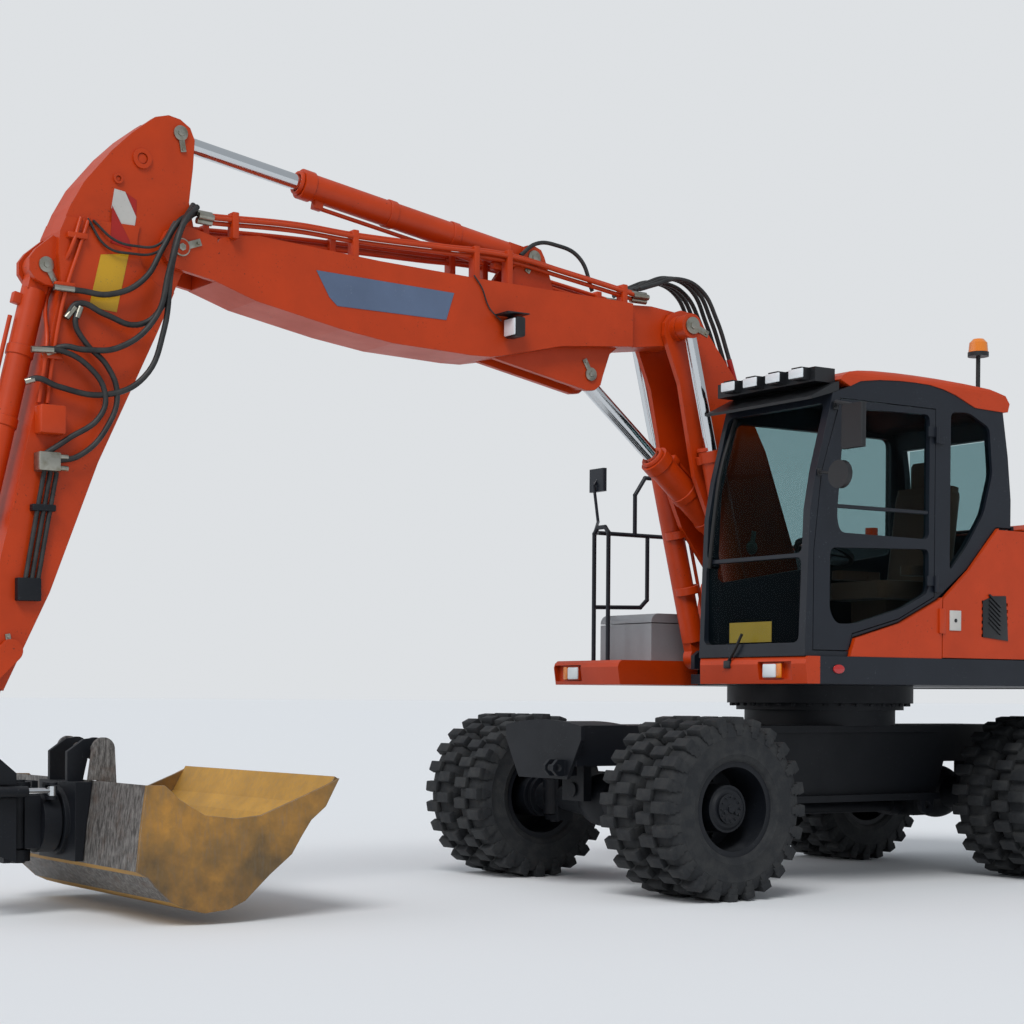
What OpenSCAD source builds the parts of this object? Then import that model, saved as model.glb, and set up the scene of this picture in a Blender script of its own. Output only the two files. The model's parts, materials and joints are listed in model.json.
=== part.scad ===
/* [Wheels] */
// Outer diameter of a tyre over its lugs
tyre_d = 1070; // [1040:5:1090]
// Width of one tyre
tyre_w = 275; // [260:5:285]
// Distance between the middles of the two tyres of a twin
twin_pitch = 335; // [325:5:345]
// Width over the outer faces of the twins
over_tyres = 2490; // [2470:10:2550]
// Height of a tread lug
lug_h = 34; // [20:2:40]
// Number of lugs round one shoulder
lug_count = 24; // [20:1:26]
// Diameter of the rim at its flange
rim_d = 570; // [540:5:600]
// Diameter of the hub drum
hub_d = 276; // [240:4:300]

/* [Undercarriage] */
// Distance between the axles
wheelbase = 2950; // [2850:10:3050]
// Distance from the slewing axis forward to the steered axle
front_axle_x = 1830; // [1780:10:1880]
// Distance from the steered axle to the nose plate
nose_reach = 480; // [460:10:520]
// Width of the frame over its flanges
frame_w = 906; // [860:2:940]
// Width of the narrow front part of the frame
frame_nose_w = 640; // [600:10:660]
// Height of the frame's underside
frame_low = 506; // [490:2:530]
// Height of the frame's top face
frame_top = 1005; // [990:5:1020]
// Thickness of the frame's flanges
flange_t = 45; // [30:1:60]
// Width of the curved nose plate
nose_w = 780; // [740:10:800]
// Lateral place of the steering pivots
kingpin_y = 520; // [515:1:525]
// Radius of the slewing pedestal
pedestal_r = 500; // [480:5:520]
// Outer radius of the slewing ring
slew_ring_r = 617; // [600:1:640]

/* [Upper body] */
// Width of the upper body
house_w = 2490; // [2450:10:2500]
// Distance from the slewing axis forward to the deck's front edge
deck_front = 1310; // [1280:10:1330]
// Height of the deck's underside
deck_low = 1266; // [1260:2:1280]
// Thickness of the deck with its skirt
deck_t = 164; // [150:2:180]
// Tail swing radius
tail_r = 2270; // [2240:10:2300]
// Height of the engine hood
hood_top = 2300; // [2250:10:2350]
// Height of the counterweight
weight_top = 2240; // [2180:5:2250]
// Thickness of the sheet covers
cover_t = 30; // [24:1:36]

/* [Cab] */
// Width of the cab
cab_w = 950; // [920:10:960]
// Forward face of the cab at its foot
cab_front = 1270; // [1250:5:1280]
// Rear face of the cab
cab_back = -470; // [-500:5:-450]
// Height of the roof's top face
roof_top = 3175; // [3150:5:3190]
// Thickness of the cab's walls
cab_wall = 50; // [44:2:56]
// Thickness of the glass
glass_t = 8; // [6:1:10]

/* [Booms] */
// Offset of the boom from the centreline, to the right
boom_offset = 100; // [90:5:110]
// Width of the base boom
base_boom_w = 330; // [310:10:340]
// Width of the front boom
front_boom_w = 340; // [320:10:360]
// Width of the arm
arm_w = 280; // [260:10:300]
// Radius of the main pins
pin_r = 42; // [38:1:46]
// Running gap of a pin in its bore
pin_gap = 0.3; // [0.2:0.1:0.5]
// Side gap between a moving ear and its neighbour
ear_gap = 6; // [5:1:8]
// Thickness of a boom's side ears
ear_t = 35; // [30:1:40]

/* [Cylinders] */
// Outer radius of a lift cylinder
lift_barrel_r = 72; // [66:1:76]
// Radius of a lift cylinder's rod
lift_rod_r = 40; // [36:1:44]
// Outer radius of the positioning cylinder
position_barrel_r = 88; // [80:1:94]
// Radius of the positioning cylinder's rod
position_rod_r = 48; // [44:1:52]
// Outer radius of the arm cylinder
arm_barrel_r = 76; // [70:1:82]
// Radius of the arm cylinder's rod
arm_rod_r = 45; // [40:1:48]
// Outer radius of the bucket cylinder
bucket_barrel_r = 68; // [62:1:74]
// Radius of the bucket cylinder's rod
bucket_rod_r = 38; // [34:1:42]

/* [Tool] */
// Width of the grading bucket
bucket_w = 1840; // [1780:20:1900]
// Height of the tool's turning axis at rest
tool_z = 500; // [480:5:520]
// Thickness of the bucket's shell
bucket_t = 20; // [16:1:24]

/* [Hidden] */
$fn = 48;

// Colours as the photograph shows them
paint_orange = "#d8430f";
paint_dark = "#2c333d";
paint_black = "#1b1e22";
paint_yellow = "#c08a35";
bare_steel = "#c9ccd0";
rubber = "#24272b";
glass_tint = "#9fb4bd";

// Wheel places
wheel_r = tyre_d / 2;
rear_axle_x = front_axle_x - wheelbase;
outer_tyre_y = (over_tyres - tyre_w) / 2;
inner_tyre_y = outer_tyre_y - twin_pitch;
hub_r = hub_d / 2;
rim_r = rim_d / 2;
eps = 1;
seat_gap = 0.3;

// Heights of the upper body
deck_top = deck_low + deck_t;
ring_low = frame_top + 145;
boom_y = -boom_offset;
half_w = house_w / 2;
cab_side = half_w - 25;
cab_inner = cab_side - cab_w;
slot_back = 600;
slot_left = 262;
slot_right = -530;

// Pin places as [forward of the slewing axis, height]
foot_pin = [300, 1720];
lift_pin = [780, 1450];
knee_pin = [1310, 3530];
position_base = [680, 2165];
position_eye = [1960, 3190];
arm_base = [2400, 3860];
nose_pin = [4810, 3610];
arm_eye = [4800, 4240];
tip_pin = [6000, 900];
bucket_base = [5560, 3440];
rocker_pin = [5770, 1400];
rocker_end = [6120, 1060];
link_end = [6050, 470];
tilt_x = tip_pin[0] - 330;
rocker_r = 60;

// Pins, eyes and side places of the booms and cylinders
bracket_y = base_boom_w / 2 + ear_gap;
lift_eye_w = 80;
knee_boss = 50;
lift_y = base_boom_w / 2 + knee_boss + ear_gap + lift_eye_w / 2;
knee_w = base_boom_w - 2 * ear_t - 2 * ear_gap;
position_eye_w = 118;
arm_foot_w = 118;
arm_eye_w = 108;
bucket_foot_w = 104;
bucket_eye_w = 90;
tab_w = 200;
link_t = 30;
rocker_y = arm_w / 2 + ear_gap + link_t / 2;
link_y = rocker_y + link_t + ear_gap;
lift_pin_r = 34;
position_pin_r = 42;
arm_pin_r = 38;
bucket_pin_r = 34;
rocker_pin_r = 35;
link_pin_r = 28;
tilt_barrel_len = 262;
tilt_rod_len = 265;
tilt_rod_r = 17;

// The origin lies midway between the tail and the rocker's end
slew_back = (rocker_end[0] + rocker_r - tail_r) / 2;

function len2(a, b) = norm(b - a);
function ang2(a, b) = atan2(b[1] - a[1], b[0] - a[0]);

// Everything above the chassis is drawn from the slewing axis
module at_slew() translate([-slew_back, 0, 0]) children();

// Extrudes an X-Z outline symmetrically about the plane y = mid
module side_plate(points, thickness, mid = 0)
    translate([0, mid + thickness / 2, 0]) rotate([90, 0, 0]) linear_extrude(thickness) polygon(points);

// A cylinder across the machine, centred on y = mid
module cross_pin(p, r, width, mid = 0)
    translate([p[0], mid + width / 2, p[1]]) rotate([90, 0, 0]) cylinder(r = r, h = width);

// Puts the X axis along the line from p to q in the plane y
module along(p, q, y) translate([p[0], y, p[1]]) rotate([0, -ang2(p, q), 0]) children();

// Rounds every corner of an outline with a short curve of n steps
function rounded(pts, r, n = 4) = [for (i = [0:len(pts) - 1])
    let (a = pts[(i + len(pts) - 1) % len(pts)], b = pts[i], c = pts[(i + 1) % len(pts)],
         u = (a - b) / norm(a - b), v = (c - b) / norm(c - b),
         t = min(r, norm(a - b) / 2.1, norm(c - b) / 2.1))
    for (k = [0:n]) let (w = k / n) (b + u * t) * (1 - w) * (1 - w) + 2 * w * (1 - w) * b + (b + v * t) * w * w];

// Closed band of thickness t on the right hand of a run of points
function tangent(p, i) = (p[i + 1] - p[i]) / norm(p[i + 1] - p[i]);
function band(p, t) = concat(p, [for (i = [len(p) - 1:-1:0])
    let (m = tangent(p, max(i - 1, 0)) + tangent(p, min(i, len(p) - 2)))
    p[i] + 2 * t / (m * m) * [m[1], -m[0]]]);

// A box with its vertical edges rounded, from its low corner
module round_box(size, r)
    linear_extrude(size[2]) hull()
        for (x = [r, size[0] - r], y = [r, size[1] - r]) translate([x, y]) circle(r = r);

// A round bar between two points
module bar(a, b, r) {
    d = b - a;
    translate(a) rotate([0, acos(d[2] / norm(d)), atan2(d[1], d[0])]) cylinder(r = r, h = norm(d), $fn = 24);
}

// A run of round bars with ball corners
module rail(points, r) {
    for (i = [0:len(points) - 2]) bar(points[i], points[i + 1], r);
    for (i = [1:len(points) - 2]) translate(points[i]) sphere(r = r + 1, $fn = 24);
}

// Undercarriage

frame_nose_x = front_axle_x + nose_reach;
frame_tail_x = rear_axle_x - 620;
nose_start = front_axle_x - 650;
rear_arch = rear_axle_x + 440;
arch_z = 760;
kingpin_r = 30;
pivot_r = 45;
nose_foot = 250;
race_r = 440;
tow_y = 180;
tow_r = 22;

// Hub and spindle along the wheel's axis, from the machine's middle
spindle_r = 60;
hub_start = inner_tyre_y - tyre_w / 2 + 36;
spindle_end = hub_start + 115;
hub_end = outer_tyre_y + tyre_w / 2 - 85;

module chassis_outline(low, high, flange) polygon(flange
    ? [[rear_arch, low], [nose_start, low], [nose_start, high], [rear_arch, high]]
    : [[frame_tail_x, arch_z], [rear_arch - 90, arch_z], [rear_arch, low], [nose_start, low],
       [nose_start, high], [frame_tail_x, high]]);

// Half of the deck's lashing eyes: forward place of each along the girder
eye_r = 27;
eye_t = 30;
lashing_x = [rear_arch + 120, nose_start - 120];
fork_y = kingpin_y - 118;
drive_z = 440;
pinion_x = 20;

module lashing_eye(x, s) translate([x, s * (frame_w - eye_t) / 2, frame_low - 35]) rotate([90, 0, 0]) {
    cylinder(r = 60, h = eye_t, center = true);
    translate([-60, 0, -eye_t / 2]) cube([120, 36, eye_t]);
}

module chassis_frame() at_slew() color(paint_black) {
    difference() {
        union() {
            // Box girder with its flanges
            web = frame_w - 110;
            translate([0, web / 2, 0]) rotate([90, 0, 0]) linear_extrude(web)
                chassis_outline(frame_low, frame_top, false);
            for (z = [frame_low, frame_top - flange_t])
                translate([rear_arch, -frame_w / 2, z]) cube([nose_start - rear_arch, frame_w, flange_t]);
            // Narrow nose over the steered axle
            translate([nose_start - eps, -frame_nose_w / 2, arch_z])
                cube([frame_nose_x - nose_start - 20, frame_nose_w, frame_top - arch_z]);
            // Nose plate with its crowned top edge
            translate([frame_nose_x - 25, 0, 0]) rotate([90, 0, 90]) linear_extrude(25) intersection() {
                polygon([[-nose_w / 2, 1060], [-nose_w / 2, 920], [-nose_foot, 680], [nose_foot, 680],
                    [nose_w / 2, 920], [nose_w / 2, 1060]]);
                translate([0, 1040 - 2200]) circle(r = 2200, $fn = 96);
            }
            // Crowned cover behind the nose plate
            translate([frame_nose_x - 400, 0, 0]) rotate([90, 0, 90]) linear_extrude(376) intersection() {
                translate([-frame_nose_w / 2, frame_top - 20]) square([frame_nose_w, 60]);
                translate([0, 1030 - 2200]) circle(r = 2200, $fn = 96);
            }
            // Cradle lugs for the steered axle
            for (dx = [-1, 1]) translate([front_axle_x + dx * 215 - 30, -110, wheel_r]) cube([60, 220, arch_z - wheel_r + eps]);
            // Pads over the fixed axle
            for (dy = [-1, 1])
                translate([rear_axle_x - 110, dy * 330 - 60, wheel_r + 110]) cube([220, 120, arch_z - wheel_r - 110 + eps]);
            // Pedestal with its bolting flange
            translate([0, 0, frame_top - eps]) cylinder(r = pedestal_r, h = ring_low - frame_top - 34, $fn = 72);
            translate([0, 0, ring_low - 45]) cylinder(r = pedestal_r + 55, h = 45 - seat_gap, $fn = 72);
            // Inner race of the slewing bearing
            translate([0, 0, ring_low - 10]) cylinder(r = race_r, h = deck_low - ring_low - 10, $fn = 72);
            // Tail lamp bar
            translate([frame_tail_x - 40, -620, 780]) cube([41, 1240, 150]);
            for (x = lashing_x, s = [-1, 1]) lashing_eye(x, s);
            // Towing eye plates under the nose
            for (dy = [-1, 1]) side_plate([[frame_nose_x - 90, 800], [frame_nose_x + 55, 800], [frame_nose_x + 90, 765],
                [frame_nose_x + 90, 735], [frame_nose_x + 55, 700], [frame_nose_x - 90, 700]], 25, tow_y + dy * 40);
        }
        for (x = lashing_x, s = [-1, 1]) cross_pin([x, frame_low - 35], eye_r, eye_t + 4, s * (frame_w - eye_t) / 2);
        cross_pin([frame_nose_x + 50, 750], tow_r, 200, tow_y);
        // Pivot bore of the steered axle
        translate([front_axle_x - 300, 0, wheel_r + 70]) rotate([0, 90, 0]) cylinder(r = pivot_r + pin_gap, h = 600);
    }
}

// Tapered axle tubes from inside the differential's ball to y = reach, on both sides
tube_start = 100;
module axle_tube(r1, r2, reach) for (s = [-1, 1]) rotate([s * -90, 0, 0]) translate([0, 0, tube_start])
    cylinder(r1 = r1, r2 = r2, h = reach - tube_start);

module front_axle() at_slew() color(paint_black) translate([front_axle_x, 0, wheel_r]) difference() {
    union() {
        axle_tube(118, 80, fork_y + eps);
        // Differential housing
        sphere(r = 165);
        translate([-pinion_x, 0, drive_z - wheel_r]) rotate([0, -90, 0]) cylinder(r = 68, h = 240 - pinion_x);
        // Pivot shaft in the cradle
        translate([-260, 0, 70]) rotate([0, 90, 0]) cylinder(r = pivot_r, h = 520);
        // Forks round the knuckles
        for (s = [-1, 1]) {
            for (z = [118, -150]) {
                translate([-60, s > 0 ? fork_y : -kingpin_y, z]) cube([120, 118, 32]);
                translate([0, s * kingpin_y, z]) cylinder(r = 60, h = 32);
            }
            translate([-60, s > 0 ? fork_y : -fork_y - 32, -150]) cube([120, 32, 300]);
        }
    }
    for (s = [-1, 1]) translate([0, s * kingpin_y, -200]) cylinder(r = kingpin_r + pin_gap, h = 400);
}

module rear_axle() at_slew() color(paint_black) translate([rear_axle_x, 0, wheel_r]) {
    axle_tube(118, 90, 570);
    for (s = [-1, 1]) rotate([s * -90, 0, 0]) {
        translate([0, 0, 560]) cylinder(r = 135, h = 70);
        cylinder(r = spindle_r, h = spindle_end);
    }
    // Spring seats under the frame pads
    for (s = [-1, 1]) translate([-90, s * 330 - 55, 60]) cube([180, 110, 50 - seat_gap]);
    sphere(r = 185);
    rotate([0, 90, 0]) cylinder(r1 = 130, r2 = 75, h = 240);
}

module transmission() at_slew() color(paint_black) {
    // Drop gearbox behind the pedestal
    box_x = rear_axle_x + 240 + seat_gap;
    translate([box_x, -170, 380]) cube([150, 340, 250]);
    // Drive shaft to the steered axle
    x1 = box_x + 150;
    x2 = front_axle_x - 240 - seat_gap;
    translate([x1 - eps, 0, drive_z]) rotate([0, 90, 0]) cylinder(r = 38, h = x2 - x1);
    for (x = [x1 - eps, x2 - 80]) translate([x, 0, drive_z]) rotate([0, 90, 0]) cylinder(r = 62, h = 80);
}

// The steered hub carrier, drawn for the left side about the axle's middle
module knuckle() color(paint_black) translate([0, kingpin_y, 0]) {
    cylinder(r = 78, h = 224, center = true);
    cylinder(r = kingpin_r, h = 330, center = true);
    rotate([-90, 0, 0]) cylinder(r = 95, h = 110);
    rotate([-90, 0, 0]) cylinder(r = spindle_r, h = spindle_end - kingpin_y);
    translate([0, 85, 0]) rotate([-90, 0, 0]) cylinder(r = 135, h = 26);
    // Steering arm
    translate([-230, -45, -30]) cube([200, 60, 50]);
}
module knuckle_left() at_slew() translate([front_axle_x, 0, wheel_r]) knuckle();
module knuckle_right() at_slew() translate([front_axle_x, 0, wheel_r]) mirror([0, 1, 0]) knuckle();

// One side's rims, drawn for the left side about the wheel's axis along Y
tyre_half = tyre_w / 2;
rim_half = tyre_half - 25;
module rims() color(paint_black) rotate([90, 0, 0]) mirror([0, 0, 1]) {
    barrel_in = rim_r - 40;
    mid = (inner_tyre_y + outer_tyre_y) / 2;
    for (y = [inner_tyre_y, outer_tyre_y]) translate([0, 0, y]) rotate_extrude() polygon([
        [barrel_in, -rim_half], [rim_r, -rim_half], [rim_r, -rim_half + 15], [rim_r - 20, -rim_half + 25],
        [rim_r - 20, rim_half - 25], [rim_r, rim_half - 15], [rim_r, rim_half], [barrel_in, rim_half]
    ]);
    // Spacer band between the two rims and the disc that carries them
    translate([0, 0, inner_tyre_y + rim_half - eps]) difference() {
        cylinder(r = rim_r - 10, h = twin_pitch - 2 * rim_half + 2 * eps);
        translate([0, 0, -eps]) cylinder(r = barrel_in, h = twin_pitch);
    }
    translate([0, 0, mid - 12]) cylinder(r = barrel_in + eps, h = 24);
    // Planetary hub drum, bored for the spindle
    difference() {
        translate([0, 0, hub_start]) cylinder(r = hub_r, h = hub_end - hub_start);
        translate([0, 0, hub_start - eps]) cylinder(r = spindle_r + pin_gap, h = spindle_end - hub_start + 5);
    }
    translate([0, 0, hub_end - eps]) cylinder(r1 = hub_r - 12, r2 = hub_r - 30, h = 14);
    // Wheel nuts
    for (i = [0:9]) rotate(i * 36) translate([hub_r + 36, 0, mid + 11]) cylinder(r = 16, h = 30, $fn = 6);
}

// One tyre with its block lugs, its middle plane at z = 0
module tyre() {
    base = wheel_r - lug_h;
    bead = [[rim_r + seat_gap, rim_half + 13], [rim_r + seat_gap, rim_half - 15], [rim_r - 20 + seat_gap, rim_half - 25]];
    rotate_extrude($fn = 40) polygon(concat(
        [for (i = [0:2]) [bead[i][0], bead[i][1]]],
        [for (i = [2:-1:0]) [bead[i][0], -bead[i][1]]],
        [[rim_r + 60, -tyre_half], [base - 60, -tyre_half + 4], [base, -tyre_half + 34],
         [base, tyre_half - 34], [base - 60, tyre_half - 4], [rim_r + 60, tyre_half]]
    ));
    step = 360 / lug_count;
    for (s = [0, 1]) mirror([0, 0, s]) rotate(s * step / 2)
        for (i = [0:lug_count - 1]) rotate(i * step) linear_extrude(tyre_half - 6)
            polygon([for (p = [[base - 6, -4.6], [wheel_r, -3.4], [wheel_r, 3.4], [base - 6, 4.6]])
                p[0] * [cos(p[1]), sin(p[1])]]);
}
module tyres() color(rubber) rotate([90, 0, 0]) mirror([0, 0, 1])
    for (y = [inner_tyre_y, outer_tyre_y]) translate([0, 0, y]) tyre();

module wheel_at(x, side) at_slew() translate([x, 0, wheel_r]) mirror([0, side < 0 ? 1 : 0, 0]) children();
module rims_front_left() wheel_at(front_axle_x, 1) rims();
module tyres_front_left() wheel_at(front_axle_x, 1) tyres();
module rims_front_right() wheel_at(front_axle_x, -1) rims();
module tyres_front_right() wheel_at(front_axle_x, -1) tyres();
module rims_rear_left() wheel_at(rear_axle_x, 1) rims();
module tyres_rear_left() wheel_at(rear_axle_x, 1) tyres();
module rims_rear_right() wheel_at(rear_axle_x, -1) rims();
module tyres_rear_right() wheel_at(rear_axle_x, -1) tyres();

// Upper body

weight_front = -(tail_r - 570);

module slew_ring() at_slew() color(paint_black) translate([0, 0, ring_low]) difference() {
    cylinder(r = slew_ring_r, h = deck_low - ring_low, $fn = 72);
    translate([0, 0, -eps]) cylinder(r = race_r + seat_gap, h = deck_low - ring_low + 2 * eps, $fn = 72);
}

fascia_back = deck_front - 120;
corner_back = 620;
module deck_outline() difference() {
    intersection() {
        translate([weight_front, -half_w]) square([deck_front - weight_front, house_w]);
        circle(r = tail_r, $fn = 96);
    }
    translate([slot_back, slot_right]) square([deck_front - slot_back + eps, slot_left - slot_right]);
}

tower_y = bracket_y + ear_t / 2;
tower_front = lift_pin[0] + 90;
bay_front = -540;
bay_top = 2256;

module house_deck() at_slew() {
    color(paint_dark) {
        translate([0, 0, deck_low]) linear_extrude(deck_t) difference() {
            deck_outline();
            translate([fascia_back, -half_w - eps]) square([deck_front - fascia_back + 1, house_w + 2]);
            translate([corner_back, -half_w - eps]) square([deck_front, half_w + slot_right + 2]);
        }
        // Bulkhead ahead of the engine with the hood's hinge rod
        translate([bay_front, -half_w + 50, deck_top - eps]) cube([20, house_w - 100, bay_top - deck_top]);
        translate([hood_hinge[0], half_w - 60, hood_hinge[1]]) rotate([90, 0, 0]) cylinder(r = 9, h = house_w - 120);
        for (y = [-half_w + 60, -15, half_w - 90])
            translate([bay_front, y, bay_top - 40]) cube([20, 30, hood_hinge[1] - bay_top + 44]);
    }
    // Boom tower with its foot pin and the lift cylinders' pins
    color(paint_orange) {
        difference() {
            for (s = [-1, 1]) side_plate(
                [[slot_back - 560, deck_top - eps], [tower_front, deck_top - 60], [tower_front, lift_pin[1] + 10],
                 [tower_front - 50, lift_pin[1] + 45], [lift_pin[0] - 65, lift_pin[1] + 48],
                 [foot_pin[0] + 200, foot_pin[1] - 50], [foot_pin[0] + 110, foot_pin[1] + 70], [foot_pin[0] - 60, foot_pin[1] + 110],
                 [foot_pin[0] - 150, foot_pin[1]]],
                ear_t, boom_y + s * tower_y);
            cross_pin(foot_pin, pin_r, 800, boom_y);
        }
        translate([slot_back - 1, boom_y - bracket_y - ear_t, deck_low + 6])
            cube([tower_front - slot_back, 2 * (bracket_y + ear_t), deck_t - 100]);
        cross_pin(foot_pin, pin_r, 2 * (bracket_y + ear_t) + 20, boom_y);
        for (s = [-1, 1]) cross_pin(lift_pin, lift_pin_r, lift_eye_w + 30, boom_y + s * (lift_y - 5));
        for (s = [-1, 1]) cross_pin(lift_pin, lift_pin_r + 18, 12, boom_y + s * (lift_y + lift_eye_w / 2 + 12));
    }
}

// Orange front of the deck: a fascia under the cab and the right hand corner, with their lamps
lamp_left = [cab_side - 390, cab_side - 100];
lamp_right = [-half_w + 8, -half_w + 305];
module fascia(x0, y0, y1) translate([0, y1, 0]) rotate([90, 0, 0]) linear_extrude(y1 - y0) polygon([
    [x0, deck_low], [deck_front - 18, deck_low], [deck_front, deck_low + 118], [deck_front - 10, deck_top - 18],
    [deck_front - 34, deck_top - seat_gap], [x0, deck_top - seat_gap]]);
module front_fascias() at_slew() color(paint_orange) {
    difference() {
        union() {
            fascia(fascia_back + seat_gap, slot_left, half_w);
            fascia(corner_back + seat_gap, -half_w, slot_right);
        }
        for (y = [lamp_left, lamp_right]) translate([deck_front - 40, y[0], deck_low + 24]) cube([80, y[1] - y[0], 108]);
        // Rounded inner end
        translate([deck_front, slot_left, 0]) rotate(45) translate([-28, -28, deck_low - eps]) cube([56, 56, deck_t + 2]);
    }
    // Headlamps in their recesses
    for (y = [lamp_left[0] + 32, lamp_right[0] + 100]) translate([deck_front - 41, y, deck_low + 30]) cube([26, 160, 96]);
}

module counterweight() at_slew() color(paint_dark) translate([0, 0, deck_low - 6]) intersection() {
    linear_extrude(weight_top - deck_low + 6) intersection() {
        circle(r = tail_r, $fn = 96);
        translate([-tail_r - eps, -half_w]) square([tail_r + weight_front - seat_gap + eps, house_w]);
    }
    // Bevelled lower rear edge
    cylinder(r1 = tail_r - 120, r2 = tail_r + 2600, h = 2600, $fn = 96);
}

// Outline of the side covers' upper edge, from front to back
panel_edge = [[940, 1432], [900, 1540], [520, 1640], [190, 1790], [-80, 1990], [-260, 2180], [-340, 2262]];

module cover_side(y0, y1) translate([0, y1, 0]) rotate([90, 0, 0]) linear_extrude(y1 - y0) children();

panel_seam = 160;
pillar_x = 210;
cab_hinge_z = [1880, 2800];
door_rear = -760;
right_door_front = -560;
right_door_rear = -1360;
door_z0 = deck_top + 6;
door_z1 = 2252;
door_out = half_w - 4;

// Slots of a side grille as parallelograms
module grille_slots(x0, x1, z0, z1) for (z = [z0:42:z1 - 30])
    polygon([[x0, z], [x1, z + 12], [x1, z + 32], [x0, z + 20]]);

module side_panels() at_slew() color(paint_orange) {
    // Front cover round the foot of the cab
    cover_side(half_w - 64, door_out) intersection() {
        polygon(concat([[panel_seam + 4, deck_top + seat_gap], [940, deck_top + seat_gap]], panel_edge, [[panel_seam + 4, 2262]]));
        translate([panel_seam + 4, 0]) square([2000, 3000]);
    }
    // Rear covers beside the counterweight
    cover_side(door_out - cover_t, door_out) difference() {
        translate([weight_front, deck_top + seat_gap]) square([door_rear - 16 - weight_front, door_z1 - deck_top]);
        grille_slots(weight_front + 120, door_rear - 160, 1620, 2100);
    }
    cover_side(-door_out, -door_out + cover_t)
        translate([weight_front, deck_top + seat_gap]) square([right_door_rear - 16 - weight_front, door_z1 - deck_top]);
    hinge_fixed(left_hinge, 1, door_hinge_z);
    hinge_fixed(right_hinge, -1, door_hinge_z);
}

// Hinges with an upright pin on an outer face: the fixed half carries the pin
hinge_out = 16;
knuckle_r = 12;
hinge_pin_r = 7;
sleeve_h = 60;
left_hinge = [door_rear - 8, door_out + hinge_out];
right_hinge = [right_door_rear - 8, -door_out - hinge_out];
cab_hinge = [pillar_x + 3, cab_side + hinge_out];

module hinge_strap(dir, side, z, h) translate([dir > 0 ? 0 : -70, side > 0 ? -hinge_out - eps : hinge_out - 10, z])
    cube([70, 10 + eps, h]);
module hinge_fixed(axis, side, heights) for (z = heights) translate([axis[0], axis[1], z]) {
    translate([0, 0, -40]) cylinder(r = knuckle_r, h = 40 - seat_gap);
    cylinder(r = hinge_pin_r, h = sleeve_h - 5);
    translate([0, 0, -eps]) cylinder(r = hinge_pin_r, h = 2);
    hinge_strap(-1, side, -40, 40 - seat_gap);
}
module hinge_sleeve(axis, side, heights) for (z = heights) translate([axis[0], axis[1], z]) difference() {
    union() {
        cylinder(r = knuckle_r, h = sleeve_h);
        hinge_strap(1, side, 0, sleeve_h);
    }
    translate([0, 0, -eps]) cylinder(r = hinge_pin_r + pin_gap, h = sleeve_h + 2 * eps);
}
door_hinge_z = [door_z0 + 120, door_z1 - 180];

module service_door_outline() difference() {
    polygon(concat([[door_rear, door_z0], [panel_seam - 4, door_z0], [panel_seam - 4, 1796]],
        [for (p = panel_edge) if (p[0] < panel_seam - 20) p], [[-340, door_z1], [door_rear, door_z1]]));
    grille_slots(-430, -190, 1560, 1830);
}

module left_service_door() at_slew() color(paint_orange) {
    cover_side(door_out - cover_t, door_out) service_door_outline();
    hinge_sleeve(left_hinge, 1, door_hinge_z);
}

module right_service_door() at_slew() color(paint_orange) {
    cover_side(-door_out, -door_out + cover_t) difference() {
        translate([right_door_rear, door_z0]) square([right_door_front - right_door_rear, door_z1 - door_z0]);
        grille_slots(right_door_rear + 160, right_door_front - 160, 1620, 2100);
    }
    hinge_sleeve(right_hinge, -1, door_hinge_z);
}

hood_hinge = [bay_front + 10, bay_top + 22];
module engine_hood() at_slew() color(paint_orange) difference() {
    union() {
        translate([0, door_out, 0]) rotate([90, 0, 0]) linear_extrude(2 * door_out) polygon([
            [weight_front + 4, door_z1 + 8], [bay_front - 22, door_z1 + 8], [bay_front - 22, door_z1 + 16],
            [bay_front - 70, hood_top], [weight_front + 70, hood_top], [weight_front + 4, hood_top - 26]
        ]);
        // Hinge sleeves
        for (y = [-700, 560]) translate([hood_hinge[0], y + 140, hood_hinge[1]]) rotate([90, 0, 0]) {
            cylinder(r = 16, h = 140);
            translate([-50, -16, 0]) cube([50, 20, 140]);
        }
        // Exhaust outlet on the hood
        translate([-1100, -620, hood_top - 20]) cylinder(r = 45, h = 150);
    }
    translate([weight_front + 40, -door_out + 40, door_z1])
        cube([bay_front - weight_front - 100, 2 * door_out - 80, hood_top - door_z1 - 12]);
    for (y = [-700, 560]) translate([hood_hinge[0], y + 140 + eps, hood_hinge[1]]) rotate([90, 0, 0])
        cylinder(r = 9 + pin_gap, h = 142);
    translate([-1100, -620, hood_top + 10]) cylinder(r = 36, h = 200);
}

module engine_block() at_slew() color(paint_dark)
    translate([-1450, -450, deck_top]) cube([620, 900, 620]);

tank_front = 480;
tank_step = 50;
tank_low = 325;
module fuel_tank() at_slew() color(paint_orange) intersection() {
    translate([bay_front + 30, -half_w + 20, deck_top]) round_box([tank_front - bay_front - 30, 640, 620], 70);
    translate([0, -half_w + 660, 0]) rotate([90, 0, 0]) linear_extrude(640) polygon(rounded([
        [bay_front + 30, deck_top], [tank_front, deck_top], [tank_front, deck_top + tank_low],
        [tank_step, deck_top + tank_low], [tank_step - 50, deck_top + 620], [bay_front + 30, deck_top + 620]], 80));
}

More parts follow.
